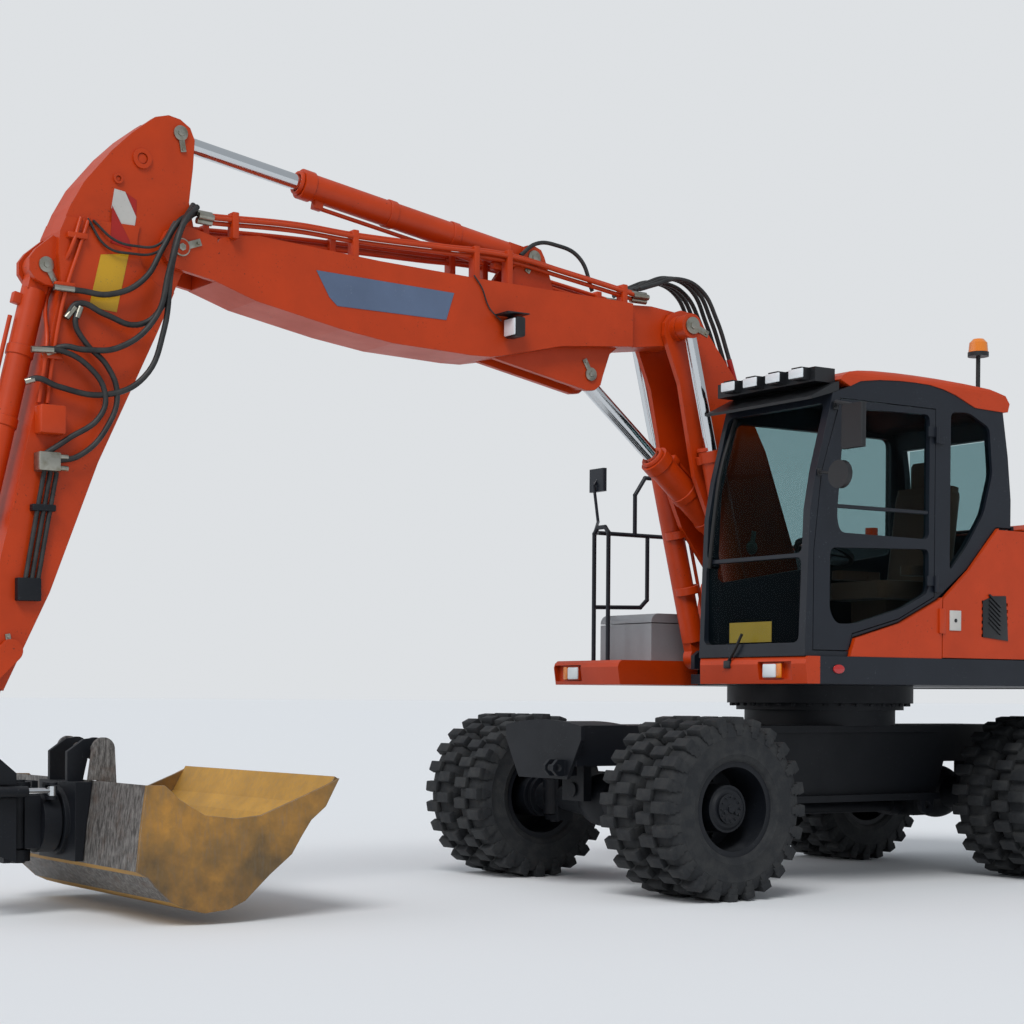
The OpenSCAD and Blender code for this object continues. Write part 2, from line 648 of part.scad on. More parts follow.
box_x0 = tank_front + 34;
box_x1 = 950;
box_top = 1690;
lid_t = 62;
box_y0 = -half_w + 60;
box_w = 560;
lid_hinge = [box_x0 - 4, box_top + 20];
lid_knuckles = [box_y0 + 60, box_y0 + box_w - 120];
lid_pin_r = 6;
module toolbox() at_slew() color(paint_dark) {
    translate([box_x0, box_y0, deck_top]) difference() {
        cube([box_x1 - box_x0, box_w, box_top - deck_top - 6]);
        translate([20, 20, 20]) cube([box_x1 - box_x0 - 40, box_w - 40, box_top - deck_top]);
    }
    for (y = lid_knuckles) {
        translate([box_x0 - 15, y - 30, box_top - 80]) cube([16, 30, 100]);
        translate([lid_hinge[0], y, lid_hinge[1]]) rotate([90, 0, 0]) cylinder(r = 11, h = 30);
        translate([lid_hinge[0], y + 60, lid_hinge[1]]) rotate([90, 0, 0]) cylinder(r = lid_pin_r, h = 80);
    }
}
module toolbox_lid() at_slew() color(paint_dark) {
    translate([0, box_y0 + box_w, 0]) rotate([90, 0, 0]) linear_extrude(box_w) polygon(concat(
        [[box_x0 + 14, box_top], [box_x1, box_top]],
        [for (a = [0:15:90]) [box_x1 - lid_t + 4 + (lid_t - 4) * cos(a), box_top + 4 + (lid_t - 4) * sin(a)]],
        [[box_x0 + 14, box_top + lid_t]]));
    for (y = lid_knuckles) translate([lid_hinge[0], y + 60, lid_hinge[1]]) rotate([90, 0, 0]) difference() {
        union() {
            cylinder(r = 11, h = 60 - seat_gap);
            translate([0, 0, 0]) cube([60, 11, 60 - seat_gap]);
        }
        translate([0, 0, -eps]) cylinder(r = lid_pin_r + pin_gap, h = 62);
    }
}

rail_r = 15;
mirror_out = 1560;
mirror_w = 170;
module right_handrail() at_slew() color(paint_dark) {
    hoop = [-half_w + 177, -half_w + 335];
    y = -half_w + 30;
    rail([[1100, hoop[0], deck_top], [1100, hoop[0], 2310], [1100, hoop[0] + 38, 2350], [1100, hoop[1] - 38, 2350],
        [1100, hoop[1], 2310], [1100, hoop[1], deck_top]], rail_r);
    // Long rail with its foot on the tank, the loop below it and the raised guard
    rail([[1100, hoop[0], 2310], [960, y, 2334], [0, y, 2330], [-60, y, 2280], [-60, y + 60, 2120],
        [-60, y + 60, deck_top + 620.3]], rail_r);
    rail([[512, y, 2332], [512, y, 1877], [572, y, 1822], [985, y, 1812], [1100, hoop[0], 1806]], rail_r);
    rail([[627, y, 2332], [627, y, 2618], [537, y, 2745], [300, y, 2745], [212, y, 2618], [212, y, 2332]], rail_r);
    // Stalk with the mirror
    rail([[1100, hoop[0], 2310], [755, -mirror_out + mirror_w / 2, 2440], [795, -mirror_out + mirror_w / 2, 2700],
        [770, -mirror_out + mirror_w / 2, 2740]], 11);
    translate([740, -mirror_out, 2655]) round_box([36, mirror_w, 165], 12);
}

// Cab

cab_front_top = cab_front - 190;
shoulder_z = 2060;
ceiling_z = roof_top - 175;
joint_z = 2030;
floor_z = deck_top + cab_wall + 2 * seat_gap;
cab_mid = (cab_side + cab_inner) / 2;

// Curved edge between the cab's frame and its roof, from front to back
roof_edge = [for (p = [[943, 50], [860, 87], [700, 108], [524, 118], [390, 119], [265, 116], [150, 99], [45, 74],
    [-50, 38], [-136, 8]]) [p[0], ceiling_z + p[1]]];

// Outline of the cab's side, shrunk by inset
module cab_outline(inset) offset(delta = -inset) polygon(concat([
    [cab_back + 40, deck_top + seat_gap], [cab_front + 22, deck_top + seat_gap], [cab_front, shoulder_z - 60],
    [cab_front - 14, 2300], [cab_front - 60, 2540], [cab_front_top, ceiling_z]],
    roof_edge, [[cab_back + 80, ceiling_z], [cab_back + 30, 2720], [cab_back, 2450], [cab_back, 1700]]));

module cab_slab(y0, y1, inset) translate([0, y1, 0]) rotate([90, 0, 0]) linear_extrude(y1 - y0) cab_outline(inset);

// Opening of the door in the side wall, shrunk by inset
module door_outline(inset) offset(delta = -inset) intersection() {
    polygon(concat([[cab_front - 40, 1462], [cab_front - 42, shoulder_z], [cab_front - 98, 2520],
        [cab_front_top - 60, ceiling_z - 25], [pillar_x, ceiling_z - 25], [pillar_x, 1812]],
        [[200, 1814], [520, 1664], [904, 1566], [936, 1462]]));
    translate([pillar_x, 0]) square([3000, 4000]);
}

module rear_side_window(inset) offset(delta = -inset) polygon(rounded([
    [78, ceiling_z - 35], [-80, ceiling_z - 25], [-270, ceiling_z - 105], [-300, 2600], [-225, 2350], [-76, 2140], [78, 1975]], 40));
module right_window(inset) offset(delta = -inset) polygon(rounded([
    [-330, 2150], [1180, 1900], [1150, 2480], [1020, ceiling_z - 80], [-330, ceiling_z - 80]], 60));
// Windscreen openings in the Y-Z plane: lower pane below the joint, upper pane above it
module front_window(low, high, inset) rotate([90, 0, 90]) linear_extrude(400) offset(delta = -inset) polygon(rounded([
    [cab_inner + 40, low], [cab_side - 58, low], [cab_side - 58, high], [cab_inner + 40, high]], 45));

module cab_frame() at_slew() color(paint_dark) {
    hinge_fixed(cab_hinge, 1, cab_hinge_z);
    cab_shell();
}

module cab_shell() difference() {
    cab_slab(cab_inner, cab_side, 0);
    cab_slab(cab_inner + cab_wall, cab_side - cab_wall, cab_wall);
    // Door opening
    translate([0, cab_side + eps, 0]) rotate([90, 0, 0]) linear_extrude(cab_wall + 2 * eps) door_outline(0);
    // Side windows
    translate([0, cab_side + eps, 0]) rotate([90, 0, 0]) linear_extrude(cab_wall + 2 * eps) rear_side_window(0);
    translate([0, cab_inner + cab_wall + eps, 0]) rotate([90, 0, 0]) linear_extrude(cab_wall + 2 * eps) right_window(0);
    // Upper and lower windscreen openings
    translate([cab_front - 300, 0, 0]) front_window(joint_z + 12, ceiling_z - 55, 0);
    translate([cab_front - 100, 0, 0]) front_window(1510, joint_z - 12, 0);
    // Rear window
    translate([cab_back - 50, cab_inner + 110, 2120]) cube([200, cab_w - 220, 720]);
    // Recess behind the side cover and the service door
    translate([0, cab_side + 50, 0]) rotate([90, 0, 0]) linear_extrude(cab_side + 50 - (half_w - 70))
        polygon(concat([[-900, deck_top - 50], [946, deck_top - 50]], [for (p = panel_edge) p + [6, 8]], [[-900, 2270]]));
}

// Roof shell over the curved edge, its long edges rounded
module cab_roof() at_slew() color(paint_orange) intersection() {
    translate([0, cab_side + 6, 0]) rotate([90, 0, 0]) linear_extrude(cab_w + 12) polygon(concat(
        [for (p = roof_edge) p + [0, seat_gap]], [[cab_back + 84, ceiling_z + seat_gap], [cab_back + 40, ceiling_z + 4]],
        [for (p = [[-446, 57], [-408, 105], [-270, 137], [-60, 153], [135, 164], [310, 172], [484, 175], [738, 164],
            [870, 152], [945, 139], [1000, 112], [1027, 84]]) [p[0], ceiling_z + p[1]]]));
    translate([cab_back, 0, 0]) rotate([90, 0, 90]) linear_extrude(2000) polygon(concat(
        [[cab_inner - 6, ceiling_z - 10], [cab_side + 6, ceiling_z - 10], [cab_side + 6, roof_top - 70]],
        [for (a = [0:15:90]) [cab_side - 64 + 70 * cos(a), roof_top - 70 + 71 * sin(a)]],
        [for (a = [90:15:180]) [cab_inner + 64 + 70 * cos(a), roof_top - 70 + 71 * sin(a)]]));
}

// Fixed panes, each lying in its opening
module cab_glass() at_slew() color(glass_tint, 0.4) {
    // Upper windscreen in flats along the pillars
    intersection() {
        translate([0, cab_side, 0]) rotate([90, 0, 0]) linear_extrude(cab_w) polygon(band([
            [cab_front - 20, joint_z], [cab_front - 20, shoulder_z - 60 + 100], [cab_front - 34, 2300],
            [cab_front - 78, 2540], [cab_front_top - 22, ceiling_z - 20]], -glass_t));
        translate([cab_front - 300, 0, 0]) front_window(joint_z + 12, ceiling_z - 55, 0.5);
    }
    intersection() {
        translate([cab_front - 20 - glass_t, cab_inner, 1500]) cube([glass_t, cab_w, 600]);
        translate([cab_front - 100, 0, 0]) front_window(1510, joint_z - 12, 0.5);
    }
    translate([0, cab_side - 20, 0]) rotate([90, 0, 0]) linear_extrude(glass_t) rear_side_window(0.5);
    translate([0, cab_inner + 28, 0]) rotate([90, 0, 0]) linear_extrude(glass_t) right_window(0.5);
    translate([cab_back + 20, cab_inner + 111, 2121]) cube([glass_t, cab_w - 222, 718]);
}

module upper_pane(inset) offset(delta = -inset) polygon(rounded([
    [1012, 2172], [1041, 2260], [1004, 2682], [948, ceiling_z - 80], [262, ceiling_z - 65], [262, 2165]], 45));
module lower_pane(inset) offset(delta = -inset) polygon(rounded([
    [1093, 2079], [262, 2105], [262, 1838], [476, 1738], [869, 1632], [1040, 1625], [1095, 1700]], 45));

module cab_door() at_slew() color(paint_dark) translate([0, cab_side, 0]) {
    rotate([90, 0, 0]) linear_extrude(cab_wall - 4) difference() {
        door_outline(6);
        upper_pane(0);
        lower_pane(0);
    }
    // Grab bar across the upper pane
    translate([270, -14, 2330]) rotate([0, 90, 0]) cylinder(r = 12, h = 870, $fn = 16);
    translate([0, -cab_side, 0]) hinge_sleeve(cab_hinge, 1, cab_hinge_z);
}
module door_glass() at_slew() color(glass_tint, 0.4)
    translate([0, cab_side - 30, 0]) rotate([90, 0, 0]) linear_extrude(glass_t) {
        upper_pane(0.5);
        lower_pane(0.5);
    }

module seat() at_slew() color("#6b4a35") translate([-40, cab_mid, floor_z]) {
    translate([0, -150, 0]) cube([340, 300, 330]);
    translate([-60, -250, 330]) round_box([520, 500, 110], 60);
    translate([-160, -235, 420]) rotate([0, -8, 0]) round_box([120, 470, 640], 50);
    translate([-250, -130, 1035]) round_box([90, 260, 200], 40);
    for (s = [-1, 1]) translate([-40, s * 300 - 45, 470]) round_box([380, 90, 60], 30);
    for (s = [-1, 1]) translate([0, s * 262 - 25, 380]) cube([100, 50, 120]);
}

module console() at_slew() color(paint_black) translate([0, cab_mid, floor_z]) {
    // Steering column with its wheel, and the pedal plate
    translate([760, -60, 0]) cube([120, 120, 60]);
    bar([820, 0, 50], [700, 0, 600], 45);
    translate([692, 0, 600]) rotate([0, -22, 0]) difference() {
        cylinder(r = 190, h = 30);
        translate([0, 0, -1]) cylinder(r = 162, h = 32);
    }
    translate([692, 0, 600]) rotate([0, -22, 0]) for (a = [0, 120, 240])
        rotate(a) translate([0, -18, 6]) cube([170, 36, 16]);
    translate([692, 0, 590]) rotate([0, -22, 0]) cylinder(r = 50, h = 30);
    // Right hand console
    translate([-60, -420, 0]) cube([420, 70, 560]);
}

module lamp_bar() at_slew() color(paint_black) {
    x = cab_front_top - 52;
    // Visor along the front of the roof
    translate([0, cab_side - 4, 0]) rotate([90, 0, 0]) linear_extrude(cab_w - 8) polygon([
        [x, ceiling_z + 20], [x + 54, ceiling_z + 0.6], [x + 222, ceiling_z - 50], [x + 228, ceiling_z - 34],
        [x + 30, ceiling_z + 66], [x, ceiling_z + 72]]);
    // Housing and four lamps
    translate([x, cab_inner + 40, ceiling_z + 66]) cube([160, cab_w - 80, 86]);
    for (i = [0:3]) translate([x + 158, cab_inner + 175 + i * 202, ceiling_z + 76]) cube([72, 84, 74]);
}

// Mirrors beyond the sweep of the cab door
module left_mirrors() at_slew() color(paint_black) {
    foot_t = 14;
    translate([1050, cab_side + seat_gap, 2900]) cube([34, foot_t, 46]);
    rail([[1067, cab_side + foot_t, 2923], [1160, cab_side + 110, 2925], [1160, cab_side + 250, 2890]], 11);
    translate([1141, mirror_out - 175, 2640]) round_box([38, 175, 260], 12);
    translate([1180, cab_side + seat_gap, 2500]) cube([26, foot_t, 40]);
    rail([[1193, cab_side + foot_t, 2519], [1226, cab_side + 80, 2508], [1226, cab_side + 215, 2490]], 9);
    translate([1206, cab_side + 212, 2487]) rotate([0, 90, 0]) cylinder(r = 82, h = 36);
}

module beacon() at_slew() translate([-350, cab_side - 170, ceiling_z]) {
    color(paint_black) {
        translate([0, 0, 122]) cylinder(r = 14, h = 254);
        translate([-60, -40, 138]) cube([120, 80, 12]);
        translate([0, 0, 374]) cylinder(r = 66, h = 28);
    }
    color("#e8891c") {
        translate([0, 0, 401]) cylinder(r1 = 62, r2 = 56, h = 62);
        translate([0, 0, 462]) cylinder(r1 = 56, r2 = 34, h = 24);
    }
}

// Booms and arm

module base_boom() at_slew() color(paint_orange) difference() {
    union() {
        // Box girder from the foot to the knee
        side_plate([[foot_pin[0] - 95, foot_pin[1]], [foot_pin[0] - 50, foot_pin[1] - 80], [foot_pin[0] + 60, foot_pin[1] - 90],
            [780, 2010], [1020, 2300], [1165, 2600], [1290, 3180], [1420, 3480], [1415, 3560], [1370, 3620], [1290, 3650],
            [1200, 3640], [1120, 3590], [840, 3270], [560, 2800], [300, 2150], [foot_pin[0] - 110, foot_pin[1] + 60]],
            base_boom_w, boom_y);
        cross_pin(foot_pin, 105, base_boom_w, boom_y);
        // Bosses that space the lift cylinders' eyes
        for (s = [-1, 1]) cross_pin(knee_pin, 78, knee_boss, boom_y + s * (base_boom_w + knee_boss - eps) / 2);
    }
    // Fork of the knee and room for the positioning cylinder
    translate([0, boom_y + base_boom_w / 2 - ear_t, 0]) rotate([90, 0, 0]) linear_extrude(base_boom_w - 2 * ear_t) polygon([
        [position_base[0] - 130, position_base[1] + 40], [position_base[0] - 20, position_base[1] - 130],
        [960, 2040], [1700, 2600], [1500, 3800], [1020, 3800], [1060, 3330], [900, 2900], [620, 2420]]);
    cross_pin(position_base, position_barrel_r + 16, base_boom_w - 2 * ear_t, boom_y);
    cross_pin(knee_pin, pin_r + pin_gap, 700, boom_y);
    cross_pin(position_base, position_pin_r + pin_gap, 700, boom_y);
    cross_pin(foot_pin, pin_r + pin_gap, 700, boom_y);
}

// Half gap between two ears that hold an eye of the given width
function fork_half(eye_w) = eye_w / 2 + ear_gap;
// The two ears that hold an eye
module ears(points, eye_w) for (s = [-1, 1]) side_plate(points, ear_t, boom_y + s * (fork_half(eye_w) + ear_t / 2));

module front_boom() at_slew() color(paint_orange) {
    difference() {
        union() {
            // Heel between the ears of the base boom
            side_plate([[1290, 3420], [1390, 3420], [1690, 3380], [1690, 3650], [1500, 3660], [1280, 3640], [1200, 3560], [1210, 3480]],
                knee_w, boom_y);
            // Girder
            side_plate([[1680, 3380], [2230, 3330], [2640, 3235], [2760, 3212], [2900, 3208], [3450, 3225], [3800, 3270],
                [4350, 3370], [4600, 3450], [4600, 3650], [4570, 3690], [4470, 3718], [4330, 3735], [3540, 3690],
                [2840, 3670], [1750, 3655], [1680, 3650]], front_boom_w, boom_y);
            ears([[1720, 3400], [1810, 3330], [1862, 3190], [1880, 3130], [1925, 3095], [1985, 3088], [2050, 3100],
                [2690, 3222], [2750, 3300], [2230, 3345]], position_eye_w);
            ears([[2240, 3650], [2318, 3870], [2345, 3915], [2400, 3935], [2455, 3915], [2482, 3870], [2640, 3650]], arm_foot_w);
            // Nose ears
            for (s = [-1, 1]) side_plate([[4590, 3450], [4760, 3480], [4850, 3496], [4898, 3530], [4925, 3580],
                [4925, 3640], [4898, 3690], [4850, 3720], [4760, 3730], [4590, 3690]],
                ear_t, boom_y + s * (front_boom_w - ear_t) / 2);
        }
        cross_pin(nose_pin, pin_r + pin_gap, 600, boom_y);
        cross_pin(arm_base, arm_pin_r + pin_gap, 400, boom_y);
    }
    cross_pin(knee_pin, pin_r, base_boom_w + 2 * knee_boss, boom_y);
}

nose_gap = front_boom_w - 2 * ear_t - 2 * ear_gap;
arm_wide = 245;
tip_clear = 350;
module arm_outline() polygon([
    [4870, 4328], [4800, 4316], [4740, 4278], [4712, 4215], [4722, 4060], [4745, 3870], [4700, 3660], [4700, 3560], [4790, 3470], [4940, 3130],
    [5280, 2410], [5550, 1710], [5800, 1200], [5925, 880], [5960, 830], [6040, 830], [6070, 920], [5990, 1250],
    [5915, 1500], [5720, 2300], [5565, 3000], [5490, 3330],
    [5508, 3500], [5500, 3620], [5440, 3760], [5360, 3900], [5200, 4090], [5080, 4205], [4950, 4306]]);

module arm_slice(width) translate([0, boom_y + width / 2, 0]) rotate([90, 0, 0]) linear_extrude(width) children();

module arm_body() difference() {
    union() {
        // Slim over the nose ears, wide below them, and a narrow tab at the tip
        arm_slice(nose_gap) difference() {
            arm_outline();
            translate(tip_pin) circle(r = tip_clear);
        }
        arm_slice(arm_w) difference() {
            arm_outline();
            translate(tip_pin) circle(r = tip_clear);
            translate(nose_pin) circle(r = arm_wide);
            translate([4000, 3700]) square([2000, 1000]);
        }
        arm_slice(tab_w) intersection() {
            arm_outline();
            translate(tip_pin) circle(r = tip_clear + 20);
        }
        ears([[5440, 3560], [5470, 3330], [5560, 3335], [5620, 3360], [5652, 3405], [5652, 3470], [5615, 3520], [5520, 3600]],
            bucket_foot_w);
    }
    // Fork of the arm cylinder's eye
    arm_slice(2 * fork_half(arm_eye_w)) polygon([[4400, 4060], [4960, 4100], [5000, 4500], [4400, 4500]]);
    // Fork of the bucket cylinder's foot
    arm_slice(2 * fork_half(bucket_foot_w)) polygon([[5450, 3440], [5480, 3340], [5640, 3000], [6000, 2900], [6000, 3700], [5540, 3560]]);
    // Path of the bucket rod's eye past the tip
    for (a = [-52:11:14]) arm_slice(bucket_eye_w + 2 * ear_gap)
        translate(rocker_pin + len2(rocker_pin, rocker_end) * [cos(a), sin(a)]) circle(r = 74);
    cross_pin(tip_pin, pin_r + pin_gap, 600, boom_y);
    cross_pin(bucket_base, bucket_pin_r + pin_gap, 400, boom_y);
    cross_pin(rocker_pin, rocker_pin_r + pin_gap, 600, boom_y);
}

module arm() at_slew() color(paint_orange) {
    arm_body();
    // The pin the arm turns on rides with the arm
    cross_pin(nose_pin, pin_r, front_boom_w + 30, boom_y);
}

// A flat link bar between two pins at one side
module link_bar(p, q, y, r, t) translate([0, y, 0]) along(p, q, 0) rotate([90, 0, 0]) translate([0, 0, -t / 2]) {
    linear_extrude(t) hull() {
        circle(r = r, $fn = 32);
        translate([len2(p, q), 0]) circle(r = r, $fn = 32);
    }
}

module rocker() at_slew() color(paint_orange) {
    for (s = [-1, 1]) link_bar(rocker_pin, rocker_end, boom_y + s * rocker_y, rocker_r, link_t);
    cross_pin(rocker_pin, rocker_pin_r, 2 * rocker_y, boom_y);
    for (s = [-1, 1]) cross_pin(rocker_end, link_pin_r, link_y - rocker_y + 30, boom_y + s * (rocker_y + link_y + 30) / 2);
}

module bucket_link() at_slew() color(paint_orange) {
    difference() {
        for (s = [-1, 1]) link_bar(rocker_end, link_end, boom_y + s * link_y, rocker_r - 4, link_t);
        cross_pin(rocker_end, link_pin_r + pin_gap, 700, boom_y);
    }
    // Stub pins that reach in towards the tilt bracket
    for (s = [-1, 1]) cross_pin(link_end, link_pin_r, link_y - fork_half(tab_w) - ear_t - ear_gap,
        boom_y + s * (link_y + fork_half(tab_w) + ear_t + ear_gap) / 2);
}

// Tool, drawn about the tilt axis with the turning axis along -X

module at_tool() at_slew() translate([tilt_x, boom_y, tool_z]) children();

bearing_z = 150;
bearing_t = 60;
shaft_r = 40;

bearing_r = 68;
module tilt_bracket() {
    color(paint_black) at_slew() difference() {
        union() {
            ears([[tilt_x + 60, tool_z - bearing_z - bearing_t], [link_end[0] - 20, link_end[1] - 60],
                [link_end[0] + 45, link_end[1] - 45], [link_end[0] + 60, link_end[1] + 20],
                [tip_pin[0] + 75, tip_pin[1]], [tip_pin[0] + 55, tip_pin[1] + 60], [tip_pin[0] - 50, tip_pin[1] + 75],
                [tip_pin[0] - 90, tip_pin[1] + 10], [tilt_x + 60, tool_z + bearing_z + bearing_t + 50]], tab_w);
            // Back plate with the two tilt bearings
            translate([tilt_x + 85, boom_y - 130, tool_z - 210]) cube([40, 260, 420]);
            for (z = [-bearing_z - bearing_t, bearing_z]) translate([tilt_x, boom_y, tool_z + z]) {
                cylinder(r = bearing_r, h = bearing_t);
                translate([0, -60, 0]) cube([100, 120, bearing_t]);
            }
            // Lugs of the tilt cylinders' feet
            for (s = [-1, 1], z = [-1, 1]) translate([tilt_x + tilt_foot[0], boom_y + s * tilt_foot[1], tool_z + tilt_z + z * tilt_lug_z]) {
                cylinder(r = 32, h = 14, center = true);
                translate([-32, s > 0 ? -60 : 0, -7]) cube([64, 60, 14]);
            }
        }
        // Windows for the tilt cylinders
        for (s = [-1, 1]) translate([tilt_x + 50, boom_y + s * 125 - 40, tool_z + tilt_z - 36]) cube([200, 80, 72]);
        translate([tilt_x, boom_y, tool_z - 300]) cylinder(r = shaft_r + pin_gap, h = 600);
    }
    color(paint_black) at_slew() {
        cross_pin(tip_pin, pin_r, 2 * fork_half(tab_w) + 2 * ear_t + 16, boom_y);
        for (s = [-1, 1]) translate([tilt_x + tilt_foot[0], boom_y + s * tilt_foot[1], tool_z + tilt_z])
            cylinder(r = tilt_pin_r, h = 2 * tilt_lug_z, center = true);
    }
}

ring_front = 90;
ring_back = 185;
ring_r = 168;
module rotator() at_tool() color(paint_black) {
    // Tilt shaft, neck and rotor housing
    cylinder(r = shaft_r, h = 2 * (bearing_z + bearing_t) + 20, center = true);
    cylinder(r = 66, h = 280, center = true);
    translate([-ring_front - 5, -95, -140]) cube([ring_front, 190, 280]);
    translate([-ring_front, 0, 0]) rotate([0, -90, 0]) cylinder(r = ring_r, h = ring_back - ring_front);
    translate([-ring_back + eps, 0, 0]) rotate([0, -90, 0]) cylinder(r = 150, h = 12);
    // Lugs of the tilt rods on their posts
    for (s = [-1, 1]) {
        for (z = [-1, 1]) translate([tilt_head[0], s * tilt_head[1], tilt_z + z * tilt_lug_z]) {
            cylinder(r = 28, h = 14, center = true);
            translate([-12, s > 0 ? -90 : 0, -7]) cube([34, 90, 14]);
        }
        translate([tilt_head[0] - 12, s * 88 - 20, 100]) cube([34, 40, tilt_z + tilt_lug_z + 7 - 100]);
    }
}

// Hitch with its hooks on the bucket's pin
turn_start = ring_back + 11 + seat_gap;
hitch_end = 318;
pin_place = [-385, 385];
module tool_hitch() at_tool() color(paint_black) {
    translate([-turn_start, 0, 0]) rotate([0, -90, 0]) cylinder(r = 185, h = 28);
    side_plate([[-223, -205], [-266, -205], [-285, -25], [-hitch_end, 212], [-223, 212]], 500);
    difference() {
        for (s = [-1, 1]) union() {
            side_plate([[-225, 120], [-hitch_end + 12, 160], [-hitch_end, 235], [-342, 338], [-370, 330], [-390, 443],
                [-320, 436], [-225, 370]], 30, s * 120);
            cross_pin(pin_place, 60, 30, s * 120);
        }
        cross_pin(pin_place, 30 + seat_gap, 600);
    }
}

// Grading bucket with its mouth up and its lip away: the curved shell, its side plates and its bracket
bucket_half = bucket_w / 2;
bucket_back = [[-324, 220], [-290, -25], [-273, -213]];
bucket_curve = [[-335, -244], [-379, -295], [-469, -376], [-541, -408], [-649, -438], [-787, -424], [-880, -384],
    [-1020, -257], [-1153, -153], [-1210, -62], [-1267, 21], [-1355, 91], [-1437, 238]];
side_edge = [[-1354, 201], [-1160, 125], [-971, 54], [-831, 41], [-647, 62], [-502, 147], [-457, 189], [-421, 218]];
module bucket() at_tool() color(paint_yellow) {
    translate([0, bucket_half - bucket_t - seat_gap, 0]) rotate([90, 0, 0])
        linear_extrude(2 * (bucket_half - bucket_t - seat_gap)) polygon(band(concat(bucket_back, bucket_curve), bucket_t));
}
module bucket_sides() at_tool() color(paint_yellow)
    for (s = [-1, 1]) side_plate(concat(bucket_back, bucket_curve, side_edge), bucket_t, s * (bucket_half - bucket_t / 2));
module bucket_bracket() at_tool() color("#8c8a86") {
    for (s = [-1, 1]) {
        side_plate([[-460, 150], [-353, 150], [-353, 221], [-300, 221], [-323, 385], [-447, 385]], 30, s * 235);
        cross_pin(pin_place, 62, 30, s * 235);
    }
    cross_pin(pin_place, 30, 470);
    translate([-440, -235, 160]) cube([85, 470, 36]);
}

// Cylinders

// Barrel with its foot eye at the origin, a flat neck beside its lugs and its gland at x = length
module barrel(length, r, rod_r, eye_w, neck) difference() {
    union() {
        rotate([90, 0, 0]) cylinder(r = r + 8, h = eye_w, center = true);
        translate([0, -eye_w / 2, -r + 14]) cube([neck + 10, eye_w, 2 * r - 28]);
        translate([neck, 0, 0]) rotate([0, 90, 0]) cylinder(r = r, h = length - neck);
        translate([length - 70, 0, 0]) rotate([0, 90, 0]) cylinder(r = r + 10, h = 70);
    }
    translate([neck + 30, 0, 0]) rotate([0, 90, 0]) cylinder(r = rod_r + pin_gap, h = length);
}

// Rod from inside the barrel to its eye at x = length
module rod(start, length, rod_r, eye_r, eye_w) {
    color(bare_steel) translate([start, 0, 0]) rotate([0, 90, 0]) cylinder(r = rod_r, h = length - start - eye_r + 12);
    color(paint_orange) translate([length, 0, 0]) rotate([90, 0, 0]) cylinder(r = eye_r, h = eye_w, center = true);
}

// A round pin through the eye at x = at, across the cylinder
module eye_pin(at, r, width) translate([at, 0, 0]) rotate([90, 0, 0]) cylinder(r = r, h = width, center = true);

module lift_barrels() at_slew() color(paint_orange) for (s = [-1, 1])
    along(lift_pin, knee_pin, boom_y + s * lift_y) difference() {
        barrel(1350, lift_barrel_r, lift_rod_r, lift_eye_w, 112);
        eye_pin(0, lift_pin_r + pin_gap, 200);
    }
module lift_rods() at_slew() for (s = [-1, 1])
    along(lift_pin, knee_pin, boom_y + s * lift_y) rod(760, len2(lift_pin, knee_pin), lift_rod_r, 78, lift_eye_w);

module position_barrel() at_slew() color(paint_orange) along(position_base, position_eye, boom_y) {
    barrel(880, position_barrel_r, position_rod_r, base_boom_w - 2 * ear_t - 2 * ear_gap, 60);
    eye_pin(0, position_pin_r, base_boom_w + 24);
}
module position_rod() at_slew() along(position_base, position_eye, boom_y)
    rod(460, len2(position_base, position_eye), position_rod_r, 80, position_eye_w);

module arm_barrel() at_slew() color(paint_orange) along(arm_base, arm_eye, boom_y) {
    barrel(1600, arm_barrel_r, arm_rod_r, arm_foot_w, 155);
    eye_pin(0, arm_pin_r, 2 * fork_half(arm_foot_w) + 2 * ear_t + 20);
}
module arm_rod() at_slew() along(arm_base, arm_eye, boom_y)
    rod(900, len2(arm_base, arm_eye), arm_rod_r, 80, arm_eye_w);

module bucket_barrel() at_slew() color(paint_orange) along(bucket_base, rocker_end, boom_y) {
    barrel(1380, bucket_barrel_r, bucket_rod_r, bucket_foot_w, 130);
    eye_pin(0, bucket_pin_r, 2 * fork_half(bucket_foot_w) + 2 * ear_t + 16);
}
module bucket_rod() at_slew() along(bucket_base, rocker_end, boom_y) {
    rod(1120, len2(bucket_base, rocker_end), bucket_rod_r, 66, bucket_eye_w);
    color(bare_steel) eye_pin(len2(bucket_base, rocker_end), 30, 2 * (rocker_y - link_t / 2 - ear_gap));
}

// Tilt cylinders, flat at the height tilt_z above the turning axis
tilt_z = 165;
tilt_lug_z = 38;
tilt_pin_r = 13;
tilt_foot = [275, 190];
tilt_head = [-130, 160];
function foot_of(s) = [tilt_foot[0], s * tilt_foot[1]];
function head_of(s) = [tilt_head[0], s * tilt_head[1]];
module tilt_line(s) at_tool() translate([tilt_foot[0], s * tilt_foot[1], tilt_z])
    rotate([0, 0, ang2(foot_of(s), head_of(s))]) children();
module tilt_barrel(s) color(paint_black) tilt_line(s) difference() {
    union() {
        cylinder(r = 28, h = 50, center = true);
        translate([10, 0, 0]) rotate([0, 90, 0]) cylinder(r = 28, h = tilt_barrel_len - 10);
    }
    cylinder(r = tilt_pin_r + pin_gap, h = 60, center = true);
    translate([38, 0, 0]) rotate([0, 90, 0]) cylinder(r = tilt_rod_r + pin_gap, h = 400);
}
module tilt_rod(s) color(bare_steel) tilt_line(s) {
    length = len2(foot_of(s), head_of(s));
    start = length - tilt_rod_len;
    translate([start, 0, 0]) rotate([0, 90, 0]) cylinder(r = tilt_rod_r, h = tilt_rod_len - 16);
    translate([length, 0, 0]) cylinder(r = 26, h = 50, center = true);
}
module tilt_barrel_left() tilt_barrel(1);
